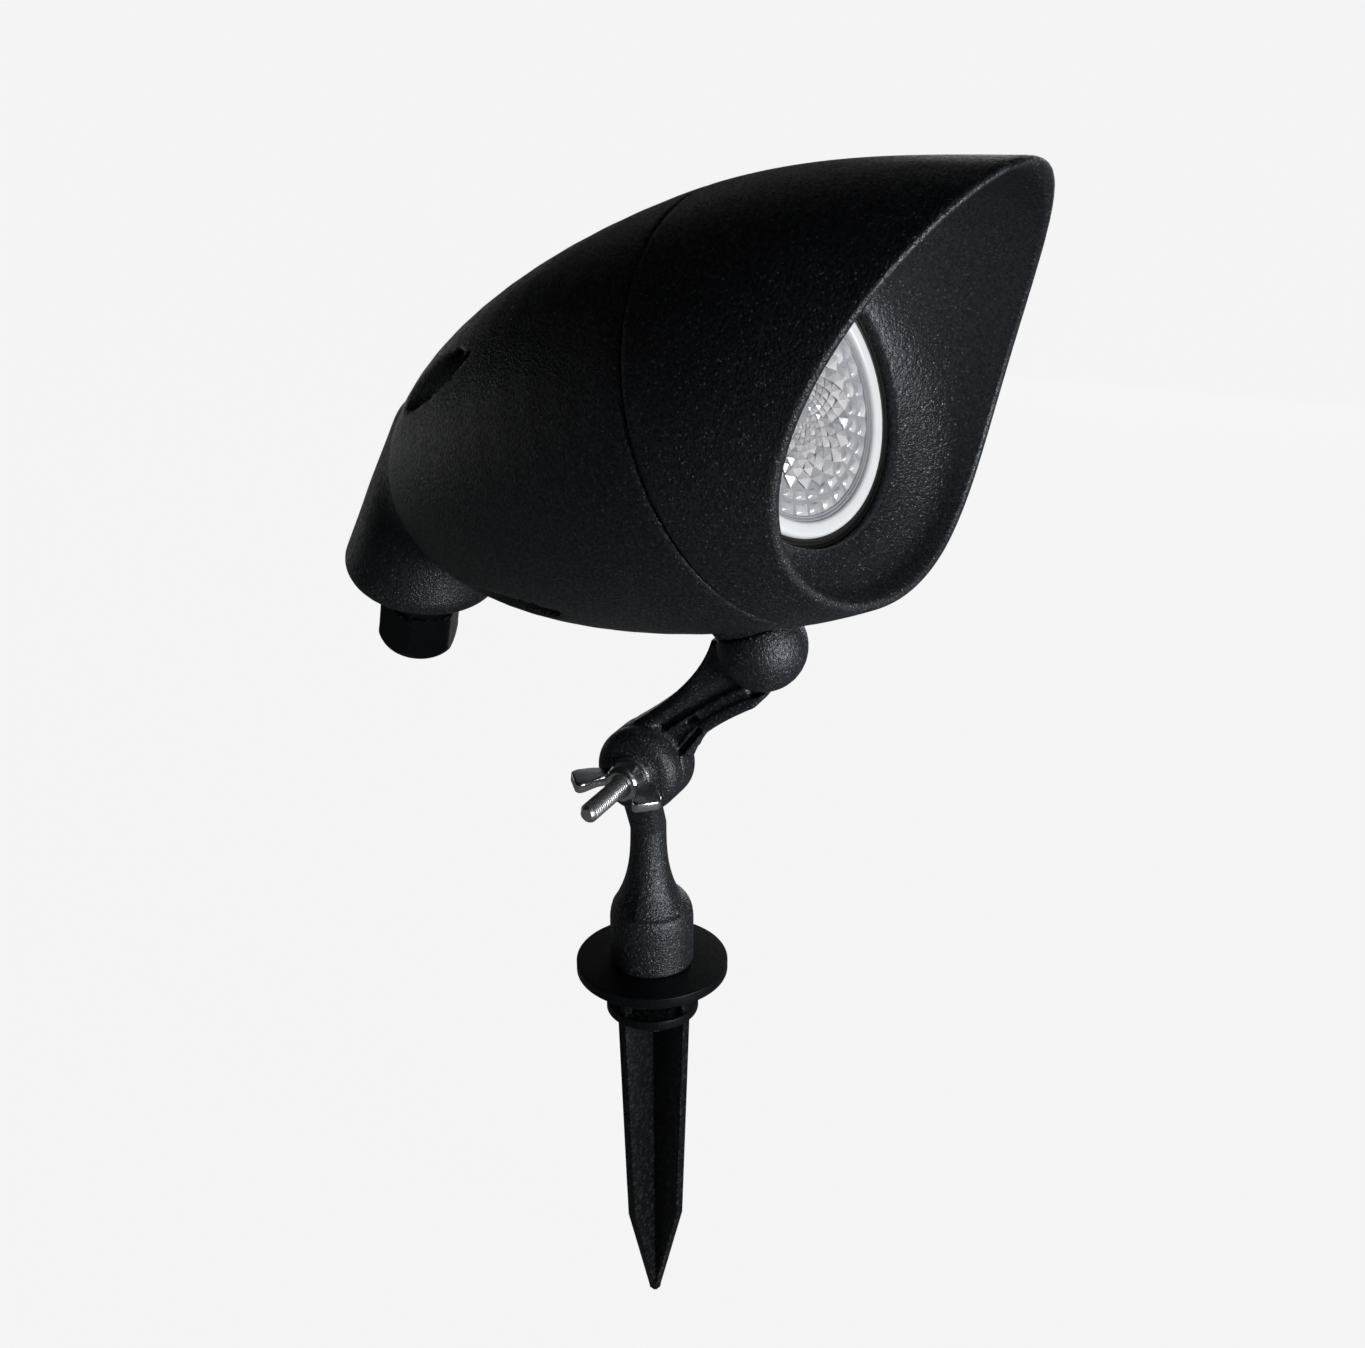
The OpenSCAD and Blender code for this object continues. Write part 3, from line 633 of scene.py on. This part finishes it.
def buildStake():
    low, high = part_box("ground_stake")
    flange, tipAt = high[0] / mm, low[2] / mm
    e, thick, spigot, spigotTop = stake["edge"], stake["flangeThick"], stake["spigot"], stake["spigotTop"]
    outline = [(0, 0)] + quarter(flange - e, e, e, -90) + quarter(flange - e, thick - e, e, 0)
    outline += [(spigot, thick), (spigot, spigotTop), (0, spigotTop)]
    pieces = [revolve("flange", outline, None, 160, 40)]
    base, hole, r = stake["ringLow"], stake["hole"], stake["ringRadius"]
    top = base + stake["ringThick"]
    outline = [(hole, base)] + quarter(r - e, base + e, e, -90)
    outline += quarter(r - e, top - e, e, 0) + [(hole, top)]
    pieces.append(revolve("collarRing", outline, None, 128, 40))
    core, down = stake["core"], stake["coreDown"]
    pieces.append(revolve("stakeCore", [(0, down), (core, down), (core, 0.01), (0, 0.01)], None, 64, 40))
    r, half, inner, tip = stake["finRadius"], stake["finThick"] / 2, stake["innerCross"], stake["tip"]
    taper, taperAt = stake["taper"], stake["taperAt"]
    side = [(inner, 0.01), (inner, base + 1), (r, base + 1), (r - taper, taperAt), (tip, tipAt)]
    fin = side + [(-x, z) for x, z in reversed(side)]
    for k in range(4):
        turn = Matrix.Rotation(math.radians(45 + 90 * k + stake["finTurn"]), 4, "Z")
        if k < 2:
            pieces.append(slab("fin%d" % k, fin, -half, half, turn, stake["edge"]))
        near, far, wide = stake["postAt"], stake["postAt"] + stake["postDeep"], stake["postWide"] / 2
        post = [(near, base + 1), (far, base + 1), (far, stake["postTop"]), (near, stake["postTop"])]
        pieces.append(slab("post%d" % k, post, -wide, wide, turn, stake["edge"]))
    piece = joined("stakeBody", pieces)
    piece.data.materials.append(satinBlack)
    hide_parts("ground_stake")
    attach(piece, "stake")
    print("stake", len(piece.data.polygons), "faces")


buildStake()


# gland nut: a hexagon that runs out into a domed end round the cable hole

glandNut = {"flats": 8.5, "corner": 9.6, "domeFrom": 17.9, "domeWide": 9.9, "endRadius": 5.6, "hole": 4.4,
            "holeWide": 0.35, "holeDeep": 0.3, "cap": 1.2, "bore": 8.0, "steps": 144, "sideSteps": 6,
            "domeSteps": 16}


def buildGlandNut():
    toGland = glandPlace.inverted()
    spots = [toGland @ v.co / mm for v in frame["nodes"]["gland_nut"].data.vertices]
    far = max(spots, key=lambda v: math.hypot(v[0], v[1]))
    turn = math.atan2(far[1], far[0])
    low, high = min(v[2] for v in spots), max(v[2] for v in spots)
    g = glandNut
    corner, domeFrom, hole, bore, inside = g["corner"], g["domeFrom"], g["hole"], g["bore"], high - g["cap"]
    sides = [(corner, low), (corner, low + 0.01)]
    sides += [(corner, low + (domeFrom - low) * k / g["sideSteps"]) for k in range(1, g["sideSteps"] + 1)]
    for k in range(1, g["domeSteps"] + 1):
        a = math.radians(90 * k / g["domeSteps"])
        sides.append((g["endRadius"] + (g["domeWide"] - g["endRadius"]) * math.cos(a),
                      domeFrom + (high - domeFrom) * math.sin(a)))
    sides += [(hole + g["holeWide"], high), (hole, high - g["holeDeep"]), (hole, inside), (bore, inside),
              (bore, low)]
    points = []
    for r, z in sides:
        for k in range(g["steps"]):
            a = 2 * math.pi * k / g["steps"]
            side = (a - turn + math.pi / 6) % (math.pi / 3) - math.pi / 6   # angle from the nearest corner
            flat = g["flats"] / math.cos(math.pi / 6 - abs(side))
            out = min(r, flat) * mm
            points.append((out * math.cos(a), out * math.sin(a), z * mm))
    faces = gridFaces(len(sides), g["steps"], closeRows=True)
    piece = meshFrom("glandNutBody", points, faces, glandPlace, 18)
    piece.data.materials.append(satinBlack)
    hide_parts("gland_nut")
    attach(piece, "gland_nut_body")


buildGlandNut()


# hinge bolt: its thread is made with Geometry Nodes

bolt = {"radius": 2.0, "rootRadius": 1.66, "ridge": 0.18, "pitch": 0.7, "tipX": -27.8, "threadFrom": -9.0,
        "threadShort": 0.9, "headX": 1.9, "headRadius": 4.04, "headHigh": 2.8, "endRadii": (1.35, 1.2, 1.0)}


def nodeInput(tree, name, kind, value):
    s = tree.interface.new_socket(name=name, in_out="INPUT", socket_type=kind)
    s.default_value = value
    return s.identifier


def geometryTree(name):
    tree = bpy.data.node_groups.new(name, "GeometryNodeTree")
    tree.interface.new_socket(name="Geometry", in_out="OUTPUT", socket_type="NodeSocketGeometry")
    return tree


def bakeTree(name, tree, values, place, material, angle=35):
    # runs a tree on an empty mesh and keeps the plain mesh that comes out
    carrier = addObject(name + "Source", bpy.data.meshes.new(name + "Source"))
    mod = carrier.modifiers.new(name, "NODES")
    mod.node_group = tree
    for identifier, value in values.items():
        mod[identifier] = value
    mesh = evaluatedMesh(carrier)
    bpy.data.objects.remove(carrier)
    bm = bmesh.new()
    bm.from_mesh(mesh)
    bmesh.ops.remove_doubles(bm, verts=bm.verts, dist=1e-7)
    bmesh.ops.recalc_face_normals(bm, faces=bm.faces)
    bm.to_mesh(mesh)
    bm.free()
    mesh.transform(place)
    mesh.materials.clear()
    mesh.materials.append(material)
    smoothShade(mesh, angle)
    return addObject(name, mesh)


def buildThread():
    tree = geometryTree("boltThread")
    radius = nodeInput(tree, "Mean Radius", "NodeSocketFloat", 0.0018)
    length = nodeInput(tree, "Length", "NodeSocketFloat", 0.01)
    pitch = nodeInput(tree, "Pitch", "NodeSocketFloat", 0.0007)
    ridge = nodeInput(tree, "Ridge", "NodeSocketFloat", 0.0003)
    inp, out = tree.nodes.new("NodeGroupInput"), tree.nodes.new("NodeGroupOutput")
    link = tree.links.new
    spiral = tree.nodes.new("GeometryNodeCurveSpiral")
    spiral.inputs["Resolution"].default_value = 48
    turns = tree.nodes.new("ShaderNodeMath")
    turns.operation = "DIVIDE"
    link(inp.outputs["Length"], turns.inputs[0])
    link(inp.outputs["Pitch"], turns.inputs[1])
    link(turns.outputs[0], spiral.inputs["Rotations"])
    link(inp.outputs["Mean Radius"], spiral.inputs["Start Radius"])
    link(inp.outputs["Mean Radius"], spiral.inputs["End Radius"])
    link(inp.outputs["Length"], spiral.inputs["Height"])
    ring = tree.nodes.new("GeometryNodeCurvePrimitiveCircle")
    ring.inputs["Resolution"].default_value = 8
    link(inp.outputs["Ridge"], ring.inputs["Radius"])
    tube = tree.nodes.new("GeometryNodeCurveToMesh")
    link(spiral.outputs[0], tube.inputs["Curve"])
    link(ring.outputs[0], tube.inputs["Profile Curve"])
    tube.inputs["Fill Caps"].default_value = True
    real = tree.nodes.new("GeometryNodeRealizeInstances")
    link(tube.outputs[0], real.inputs[0])
    look = tree.nodes.new("GeometryNodeSetMaterial")
    look.inputs["Material"].default_value = boltZinc
    link(real.outputs[0], look.inputs["Geometry"])
    link(look.outputs[0], out.inputs["Geometry"])
    run = (bolt["threadFrom"] - bolt["tipX"] - bolt["threadShort"]) * mm
    values = {radius: (bolt["radius"] - bolt["ridge"]) * mm, length: run, pitch: bolt["pitch"] * mm,
              ridge: bolt["ridge"] * mm}
    place = boltPlace @ Matrix.Translation((0, 0, -bolt["threadFrom"] * mm))
    return bakeTree("boltThread", tree, values, place, boltZinc, 60)


def buildBolt():
    thread = buildThread()
    r, root = bolt["radius"], bolt["rootRadius"]
    head, start, end = -bolt["headX"], -bolt["threadFrom"], -bolt["tipX"]
    near, middle, tip = bolt["endRadii"]
    shank = revolve("boltShank", [
        (0, head - 0.1), (r, head - 0.1), (r, start - 0.3), (root, start + 0.1), (root, end - 1.0),
        (root - 0.05, end - 0.75), (near, end - 0.15), (middle, end - 0.02), (tip, end), (0, end)],
        boltPlace, 48, 30)
    shank.data.materials.append(boltZinc)
    wide, high = bolt["headRadius"], bolt["headHigh"]
    boltHead = revolve("boltHead", [
        (0, head), (wide - 0.24, head), (wide, head - 0.25), (wide, head - high + 0.4),
        (wide - 0.34, head - high + 0.05), (0, head - high)],
        boltPlace @ Matrix.Rotation(math.radians(30), 4, "Z"), 6, 20)
    boltHead.data.materials.append(brightZinc)
    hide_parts("hinge_bolt")
    for piece in (shank, thread, boltHead):
        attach(piece, "upper_arm_body")


buildBolt()
print("bolt done")


# wing nut

wing = {"seatX": -9.25, "hubBase": 4.4, "hubTop": 3.7, "hubHeight": 4.6, "tall": 10.5, "span": 10.3,
        "bore": 2.06, "thick": 2.3, "rootThick": 1.12, "rootTo": 4, "turn": 6.3, "edge": 0.5}


def buildWingNut():
    place = boltPlace @ Matrix.Translation((0, 0, -wing["seatX"] * mm))
    base, top, high, bore = wing["hubBase"], wing["hubTop"], wing["hubHeight"], wing["bore"]
    hub = revolve("wingHub", [
        (bore, 0.0), (base - 0.3, 0.0), (base, 0.35), (base - 0.1, 1.4), (top + 0.15, 3.2),
        (top - 0.1, high - 0.5), (top - 0.6, high - 0.05), (2.6, high), (2.1, high - 0.3), (bore, high - 0.6)],
        place, 72, 50)
    tall, span = wing["tall"], wing["span"]
    # one wing in its own plane, as outward reach and height: the end is cut on a slant
    outline = [(2.2, 0.5), (4.4, 0.7), (6.2, 1.4), (7.8, 2.6), (span - 0.5, 4.9), (span - 0.1, 5.8),
               (span, 6.5), (span - 0.3, 7.1), (7.2, tall - 0.2), (6.6, tall), (5.9, tall - 0.2), (5.3, 9.2),
               (4.8, 7.6), (4.2, 5.9), (3.4, high - 0.3), (2.2, high - 0.6)]
    pieces = [hub]
    for name, side in (("wingBladeUp", 1), ("wingBladeDown", -1)):
        points = []
        for level in (-1, 1):
            for r, z in outline:
                t = wing["thick"] / 2 * (wing["rootThick"] if r < wing["rootTo"] else 1.0)
                points.append((level * t * mm, side * r * mm, z * mm))
        blade = bevelled(meshFrom(name, points, plateFaces(len(outline)), None, 60), wing["edge"], 50, 4)
        blade.data.transform(place @ Matrix.Rotation(math.radians(-wing["turn"]), 4, "Z"))
        pieces.append(blade)
    for piece in pieces:
        piece.data.materials.append(brightZinc)
        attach(piece, "wing_nut_body")
    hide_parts("wing_nut")


buildWingNut()
print("wing nut done")


# lamp front: white rim and a clear lens with moulded facets

lens = {
    "face": -1.25, "padCount": 32, "padHeight": 0.6, "padStart": 0.05, "padTilt": 0.06,
    "padRows": ((19.65, 2.1, 3.1), (16.95, 1.9, 2.7)),   # ring radius, then each pad's depth and width
    "diamondCount": 24, "diamondFrom": 14.2, "diamondRows": 9, "diamondHeight": 0.24, "diamondTilt": 0.1,
    "diamondSize": 1.02, "sink": 0.05, "seed": 4, "dark": (0.42, 0.42, 0.48), "pale": (0.93, 0.93, 0.94),
    "plate": ((0, -4.6), (21.9, -4.6), (21.9, -0.9), (21.75, -0.8), (21.55, -0.8), (21.4, -0.95),
              (21.25, -1.1), (21.1, -0.95), (20.95, -0.95), (20.8, -1.25), (12.0, -1.25), (0, -1.2)),
    "rim": ((21.95, -6.3), (25.0, -6.3), (25.0, -0.9), (24.8, -0.35), (24.4, -0.05), (23.9, 0.0), (22.7, 0.0),
            (22.3, -0.1), (22.05, -0.4), (21.95, -0.8)),
}


def buildLensTree(name, shape):
    # a ring of moulded facets, each with its own tone
    tree = geometryTree(name)
    ids = {}
    for label, kind, value in (("Ring Radius", "NodeSocketFloat", 0.015), ("Count", "NodeSocketInt", 30),
                               ("Start Angle", "NodeSocketFloat", 0.0), ("Width", "NodeSocketFloat", 0.002),
                               ("Depth", "NodeSocketFloat", 0.002), ("Height", "NodeSocketFloat", 0.0005),
                               ("Tilt", "NodeSocketFloat", 0.1), ("Seed", "NodeSocketInt", 1)):
        ids[label] = nodeInput(tree, label, kind, value)
    inp, out = tree.nodes.new("NodeGroupInput"), tree.nodes.new("NodeGroupOutput")
    link = tree.links.new
    ring = tree.nodes.new("GeometryNodeCurvePrimitiveCircle")
    link(inp.outputs["Count"], ring.inputs["Resolution"])
    link(inp.outputs["Ring Radius"], ring.inputs["Radius"])
    spin = tree.nodes.new("ShaderNodeCombineXYZ")
    link(inp.outputs["Start Angle"], spin.inputs[2])
    turned = tree.nodes.new("GeometryNodeTransform")
    link(ring.outputs[0], turned.inputs["Geometry"])
    link(spin.outputs[0], turned.inputs["Rotation"])
    if shape == "pad":
        sheet = tree.nodes.new("GeometryNodeMeshGrid")
        for label, value in (("Size X", 1.0), ("Size Y", 1.0), ("Vertices X", 7), ("Vertices Y", 7)):
            sheet.inputs[label].default_value = value
        where = tree.nodes.new("GeometryNodeInputPosition")
        split = tree.nodes.new("ShaderNodeSeparateXYZ")
        link(where.outputs[0], split.inputs[0])
        rises = []
        for k, power in ((0, 4), (1, 2)):
            swing = mathNode(tree, "ABSOLUTE", mathNode(tree, "MULTIPLY", split.outputs[k], 2.0))
            rises.append(mathNode(tree, "SUBTRACT", 1.0, mathNode(tree, "POWER", swing, power)))
        lift = tree.nodes.new("ShaderNodeCombineXYZ")
        link(mathNode(tree, "MULTIPLY", rises[0], rises[1]), lift.inputs[2])
        raised = tree.nodes.new("GeometryNodeSetPosition")
        link(sheet.outputs["Mesh"], raised.inputs["Geometry"])
        link(lift.outputs[0], raised.inputs["Offset"])
        unit = raised.outputs[0]
    else:
        point = tree.nodes.new("GeometryNodeMeshCone")
        for label, value in (("Vertices", 4), ("Radius Top", 0.06), ("Radius Bottom", 0.5), ("Depth", 1.0)):
            point.inputs[label].default_value = value
        unit = point.outputs["Mesh"]
    size = tree.nodes.new("ShaderNodeCombineXYZ")
    link(inp.outputs["Depth"], size.inputs[0])
    link(inp.outputs["Width"], size.inputs[1])
    link(inp.outputs["Height"], size.inputs[2])
    tangent = tree.nodes.new("GeometryNodeInputTangent")
    align = tree.nodes.new("FunctionNodeAlignRotationToVector")
    align.axis = "Y"
    align.pivot_axis = "Z"
    link(tangent.outputs[0], align.inputs["Vector"])
    tilt = tree.nodes.new("FunctionNodeRandomValue")
    tilt.data_type = "FLOAT_VECTOR"
    low = mathNode(tree, "MULTIPLY", inp.outputs["Tilt"], -1.0)
    ends = [tree.nodes.new("ShaderNodeCombineXYZ") for _ in range(2)]
    for k in (0, 1):
        link(low, ends[0].inputs[k])
        link(inp.outputs["Tilt"], ends[1].inputs[k])
        link(ends[k].outputs[0], tilt.inputs[k])
    link(inp.outputs["Seed"], tilt.inputs["Seed"])
    euler = tree.nodes.new("FunctionNodeEulerToRotation")
    link(tilt.outputs[0], euler.inputs[0])
    turn = tree.nodes.new("FunctionNodeRotateRotation")
    turn.rotation_space = "LOCAL"
    link(align.outputs[0], turn.inputs[0])
    link(euler.outputs[0], turn.inputs[1])
    place = tree.nodes.new("GeometryNodeInstanceOnPoints")
    link(turned.outputs[0], place.inputs["Points"])
    link(unit, place.inputs["Instance"])
    link(turn.outputs[0], place.inputs["Rotation"])
    link(size.outputs[0], place.inputs["Scale"])
    shade = tree.nodes.new("FunctionNodeRandomValue")
    shade.data_type = "FLOAT"
    link(inp.outputs["Seed"], shade.inputs["Seed"])
    keep = tree.nodes.new("GeometryNodeStoreNamedAttribute")
    keep.data_type = "FLOAT"
    keep.domain = "INSTANCE"
    keep.inputs["Name"].default_value = "facetTone"
    link(place.outputs[0], keep.inputs["Geometry"])
    link(shade.outputs[1], keep.inputs["Value"])
    real = tree.nodes.new("GeometryNodeRealizeInstances")
    link(keep.outputs[0], real.inputs[0])
    look = tree.nodes.new("GeometryNodeSetMaterial")
    look.inputs["Material"].default_value = lensClear
    link(real.outputs[0], look.inputs["Geometry"])
    link(look.outputs[0], out.inputs["Geometry"])
    return tree, ids


def addLensRing(name, tree, ids, radius, count, start, depth, width, height, tilt, seed, lift, angle):
    values = {ids["Ring Radius"]: radius * mm, ids["Count"]: count, ids["Start Angle"]: start,
              ids["Width"]: width * mm, ids["Depth"]: depth * mm, ids["Height"]: height * mm,
              ids["Tilt"]: tilt, ids["Seed"]: seed}
    place = lampPlace @ Matrix.Translation((0, 0, (lens["face"] + lift) * mm))
    piece = bakeTree(name, tree, values, place, lensClear, angle)
    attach(piece, "lamp")


def buildLensFacets():
    tree, ids = buildLensTree("lensPads", "pad")
    for k, (radius, depth, width) in enumerate(lens["padRows"]):
        addLensRing("lensPads%d" % k, tree, ids, radius, lens["padCount"], lens["padStart"], depth, width,
                    lens["padHeight"], lens["padTilt"], lens["seed"] + k, 0.01, 30)
    tree, ids = buildLensTree("lensDiamonds", "diamond")
    count = lens["diamondCount"]
    radius = lens["diamondFrom"]
    for k in range(lens["diamondRows"]):
        side = 2 * math.pi * radius / count
        start = math.pi / count * (k % 2)   # every other ring is turned by half a facet
        height, size = lens["diamondHeight"] * side, side * lens["diamondSize"]
        addLensRing("lensDiamonds%d" % k, tree, ids, radius, count, start, size, size, height,
                    lens["diamondTilt"], lens["seed"] + 10 + k, height / 2 - lens["sink"], 10)
        radius *= 1 - math.pi / count


def clearLens(name):
    m, t, p = newMaterial(name)
    coord = t.nodes.new("ShaderNodeTexCoord").outputs["Object"]
    cloud = noiseNode(t, coord, 300, 2, 0.5)
    own = t.nodes.new("ShaderNodeAttribute")
    own.attribute_name = "facetTone"
    tone = mathNode(t, "ADD", mathNode(t, "MULTIPLY", own.outputs["Fac"], 0.75),
                    mathNode(t, "MULTIPLY", cloud, 0.35), True)
    t.links.new(mixColour(t, tone, lens["dark"], lens["pale"]), p.inputs["Base Color"])
    t.links.new(mathNode(t, "ADD", mathNode(t, "MULTIPLY", cloud, 0.12), 0.02), p.inputs["Roughness"])
    p.inputs["Transmission Weight"].default_value = 0.3
    p.inputs["IOR"].default_value = 1.5
    setBump(t, p, cloud, 0.1, 0.0001)
    return m


lensClear = clearLens("lensClear")
plate = revolve("lensPlate", lens["plate"], lampPlace, 144, 25)
plate.data.materials.append(lensClear)
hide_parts("lamp_lens")
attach(plate, "lamp")
buildLensFacets()
rim = revolve("rimBand", lens["rim"], lampPlace, 160, 50)
rim.data.materials.append(rimWhite)
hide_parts("lamp_rim")
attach(rim, "lamp")
print("lamp done")


# camera, light and floor

view = {"azimuth": -63.896, "elevation": 23.055, "roll": -0.043, "distance": 0.340393,
        "target": (0, -0.007578, 0.072324), "lens": 43.92}


def addCamera():
    a, e = math.radians(view["azimuth"]), math.radians(view["elevation"])
    back = Vector((math.sin(a) * math.cos(e), -math.cos(a) * math.cos(e), math.sin(e)))
    right = Vector((math.cos(a), math.sin(a), 0))
    up = back.cross(right)
    roll = math.radians(view["roll"])
    c, s = math.cos(roll), math.sin(roll)
    right, up = right * c + up * s, up * c - right * s
    m = Matrix((right, up, back)).transposed().to_4x4()
    m.translation = Vector(view["target"]) + back * view["distance"]
    data = bpy.data.cameras.new("viewCamera")
    data.sensor_width = 36
    data.lens = view["lens"]
    data.clip_start = 0.01
    data.clip_end = 200
    camera = bpy.data.objects.new("viewCamera", data)
    camera.matrix_world = m
    bpy.context.scene.collection.objects.link(camera)
    bpy.context.scene.camera = camera


lights = (  # name, place, aimed at, size, power
    ("frontRightKey", (-0.3, -0.94, 0.1), (0, -0.02, 0.09), (0.36, 0.46), 10.0),
    ("backLeftSoft", (0.3, 1.0, -0.02), (0, 0.02, 0.09), (0.4, 0.12), 0.14),
    ("behindSoft", (1.38, 0.67, 0.6), (0, 0, 0.0), (1.1, 0.5), 0.26),
    ("farSideFill", (1.0, 0.05, 0.12), (0, 0, 0.09), (0.5, 0.5), 1.6),
)


def addLights():
    for name, place, aim, size, power in lights:
        data = bpy.data.lights.new(name, "AREA")
        data.shape = "RECTANGLE"
        data.size, data.size_y = size
        data.energy = power
        lamp = bpy.data.objects.new(name, data)
        lamp.location = place
        lamp.rotation_euler = (Vector(aim) - Vector(place)).to_track_quat("-Z", "Y").to_euler()
        bpy.context.scene.collection.objects.link(lamp)


stage = {
    "span": 60.0, "drop": 0.0005, "seen": 0.975, "seenShare": 0.93, "lit": 0.14, "fleck": 0.01,
    "glossShare": 0.04, "farShare": 0.6, "farFrom": 0.24, "farTo": 0.42, "farWay": (0.9, 0.44),
    "sideLoss": 1.6,
    "roomLight": 0.06, "roomGloss": 0.006, "roomTint": (0.92, 0.95, 1.0), "backdrop": 0.922,
}


def seenDirectly(tree, path):
    # what the camera meets, straight or through glass
    return mathNode(tree, "MAXIMUM", path.outputs["Is Camera Ray"], path.outputs["Is Transmission Ray"])


def paleFloor():
    # bright and even to the camera and through glass, fainter in gloss, lit plainly for everything else
    m, t, p = newMaterial("paleFloor")
    coord = t.nodes.new("ShaderNodeTexCoord").outputs["Object"]
    fleck = noiseNode(t, coord, 30, 2, 0.5)
    darker, paler = stage["lit"] - stage["fleck"], stage["lit"] + stage["fleck"]
    t.links.new(mixColour(t, fleck, (darker,) * 3, (paler,) * 3), p.inputs["Base Color"])
    p.inputs["Roughness"].default_value = 0.9
    p.inputs["Specular IOR Level"].default_value = 0.1
    path = t.nodes.new("ShaderNodeLightPath")
    glow = t.nodes.new("ShaderNodeEmission")
    glow.inputs["Color"].default_value = (stage["seen"], stage["seen"], stage["seen"], 1)
    mix = t.nodes.new("ShaderNodeMixShader")
    # gloss finds the floor brighter behind the object than under it
    split = t.nodes.new("ShaderNodeSeparateXYZ")
    t.links.new(coord, split.inputs[0])
    x, y = split.outputs[0], split.outputs[1]
    farX, farY = stage["farWay"]
    along = mathNode(t, "ADD", mathNode(t, "MULTIPLY", x, farX), mathNode(t, "MULTIPLY", y, farY))
    aside = mathNode(t, "SUBTRACT", mathNode(t, "MULTIPLY", y, farX), mathNode(t, "MULTIPLY", x, farY))
    loss = mathNode(t, "MULTIPLY", mathNode(t, "ABSOLUTE", aside), stage["sideLoss"])
    away = rampNode(t, mathNode(t, "SUBTRACT", along, loss), stage["farFrom"], stage["farTo"])
    shown = mathNode(t, "MULTIPLY", away, stage["farShare"] - stage["glossShare"])
    gloss = mathNode(t, "MULTIPLY", path.outputs["Is Glossy Ray"],
                     mathNode(t, "ADD", shown, stage["glossShare"]))
    share = mathNode(t, "MAXIMUM", mathNode(t, "MULTIPLY", seenDirectly(t, path), stage["seenShare"]), gloss)
    t.links.new(share, mix.inputs[0])
    t.links.new(p.outputs[0], mix.inputs[1])
    t.links.new(glow.outputs[0], mix.inputs[2])
    t.links.new(mix.outputs[0], t.nodes["Material Output"].inputs["Surface"])
    return m


def addStage():
    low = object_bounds()[0][2] - stage["drop"]
    span = stage["span"]
    mesh = bpy.data.meshes.new("floor")
    corners = [(-span, -span, low), (span, -span, low), (span, span, low), (-span, span, low)]
    mesh.from_pydata(corners, [], [(0, 1, 2, 3)])
    floor = addObject("floor", mesh)
    mesh.materials.append(paleFloor())


def buildRoom():
    # a dim room lights the object, and the camera sees a pale backdrop
    world = bpy.data.worlds.new("softRoom")
    bpy.context.scene.world = world
    world.use_nodes = True
    t = world.node_tree
    dim = t.nodes["Background"]
    dim.inputs["Color"].default_value = (*stage["roomTint"], 1)
    path = t.nodes.new("ShaderNodeLightPath")
    change = mathNode(t, "MULTIPLY", path.outputs["Is Glossy Ray"], stage["roomGloss"] - stage["roomLight"])
    t.links.new(mathNode(t, "ADD", change, stage["roomLight"]), dim.inputs["Strength"])
    pale = t.nodes.new("ShaderNodeBackground")
    pale.inputs["Color"].default_value = (stage["backdrop"], stage["backdrop"], stage["backdrop"], 1)
    mix = t.nodes.new("ShaderNodeMixShader")
    t.links.new(seenDirectly(t, path), mix.inputs[0])
    t.links.new(dim.outputs[0], mix.inputs[1])
    t.links.new(pale.outputs[0], mix.inputs[2])
    t.links.new(mix.outputs[0], t.nodes["World Output"].inputs["Surface"])


addCamera()
addLights()
addStage()
buildRoom()
bpy.context.scene.view_settings.view_transform = "Standard"
print("stage done")
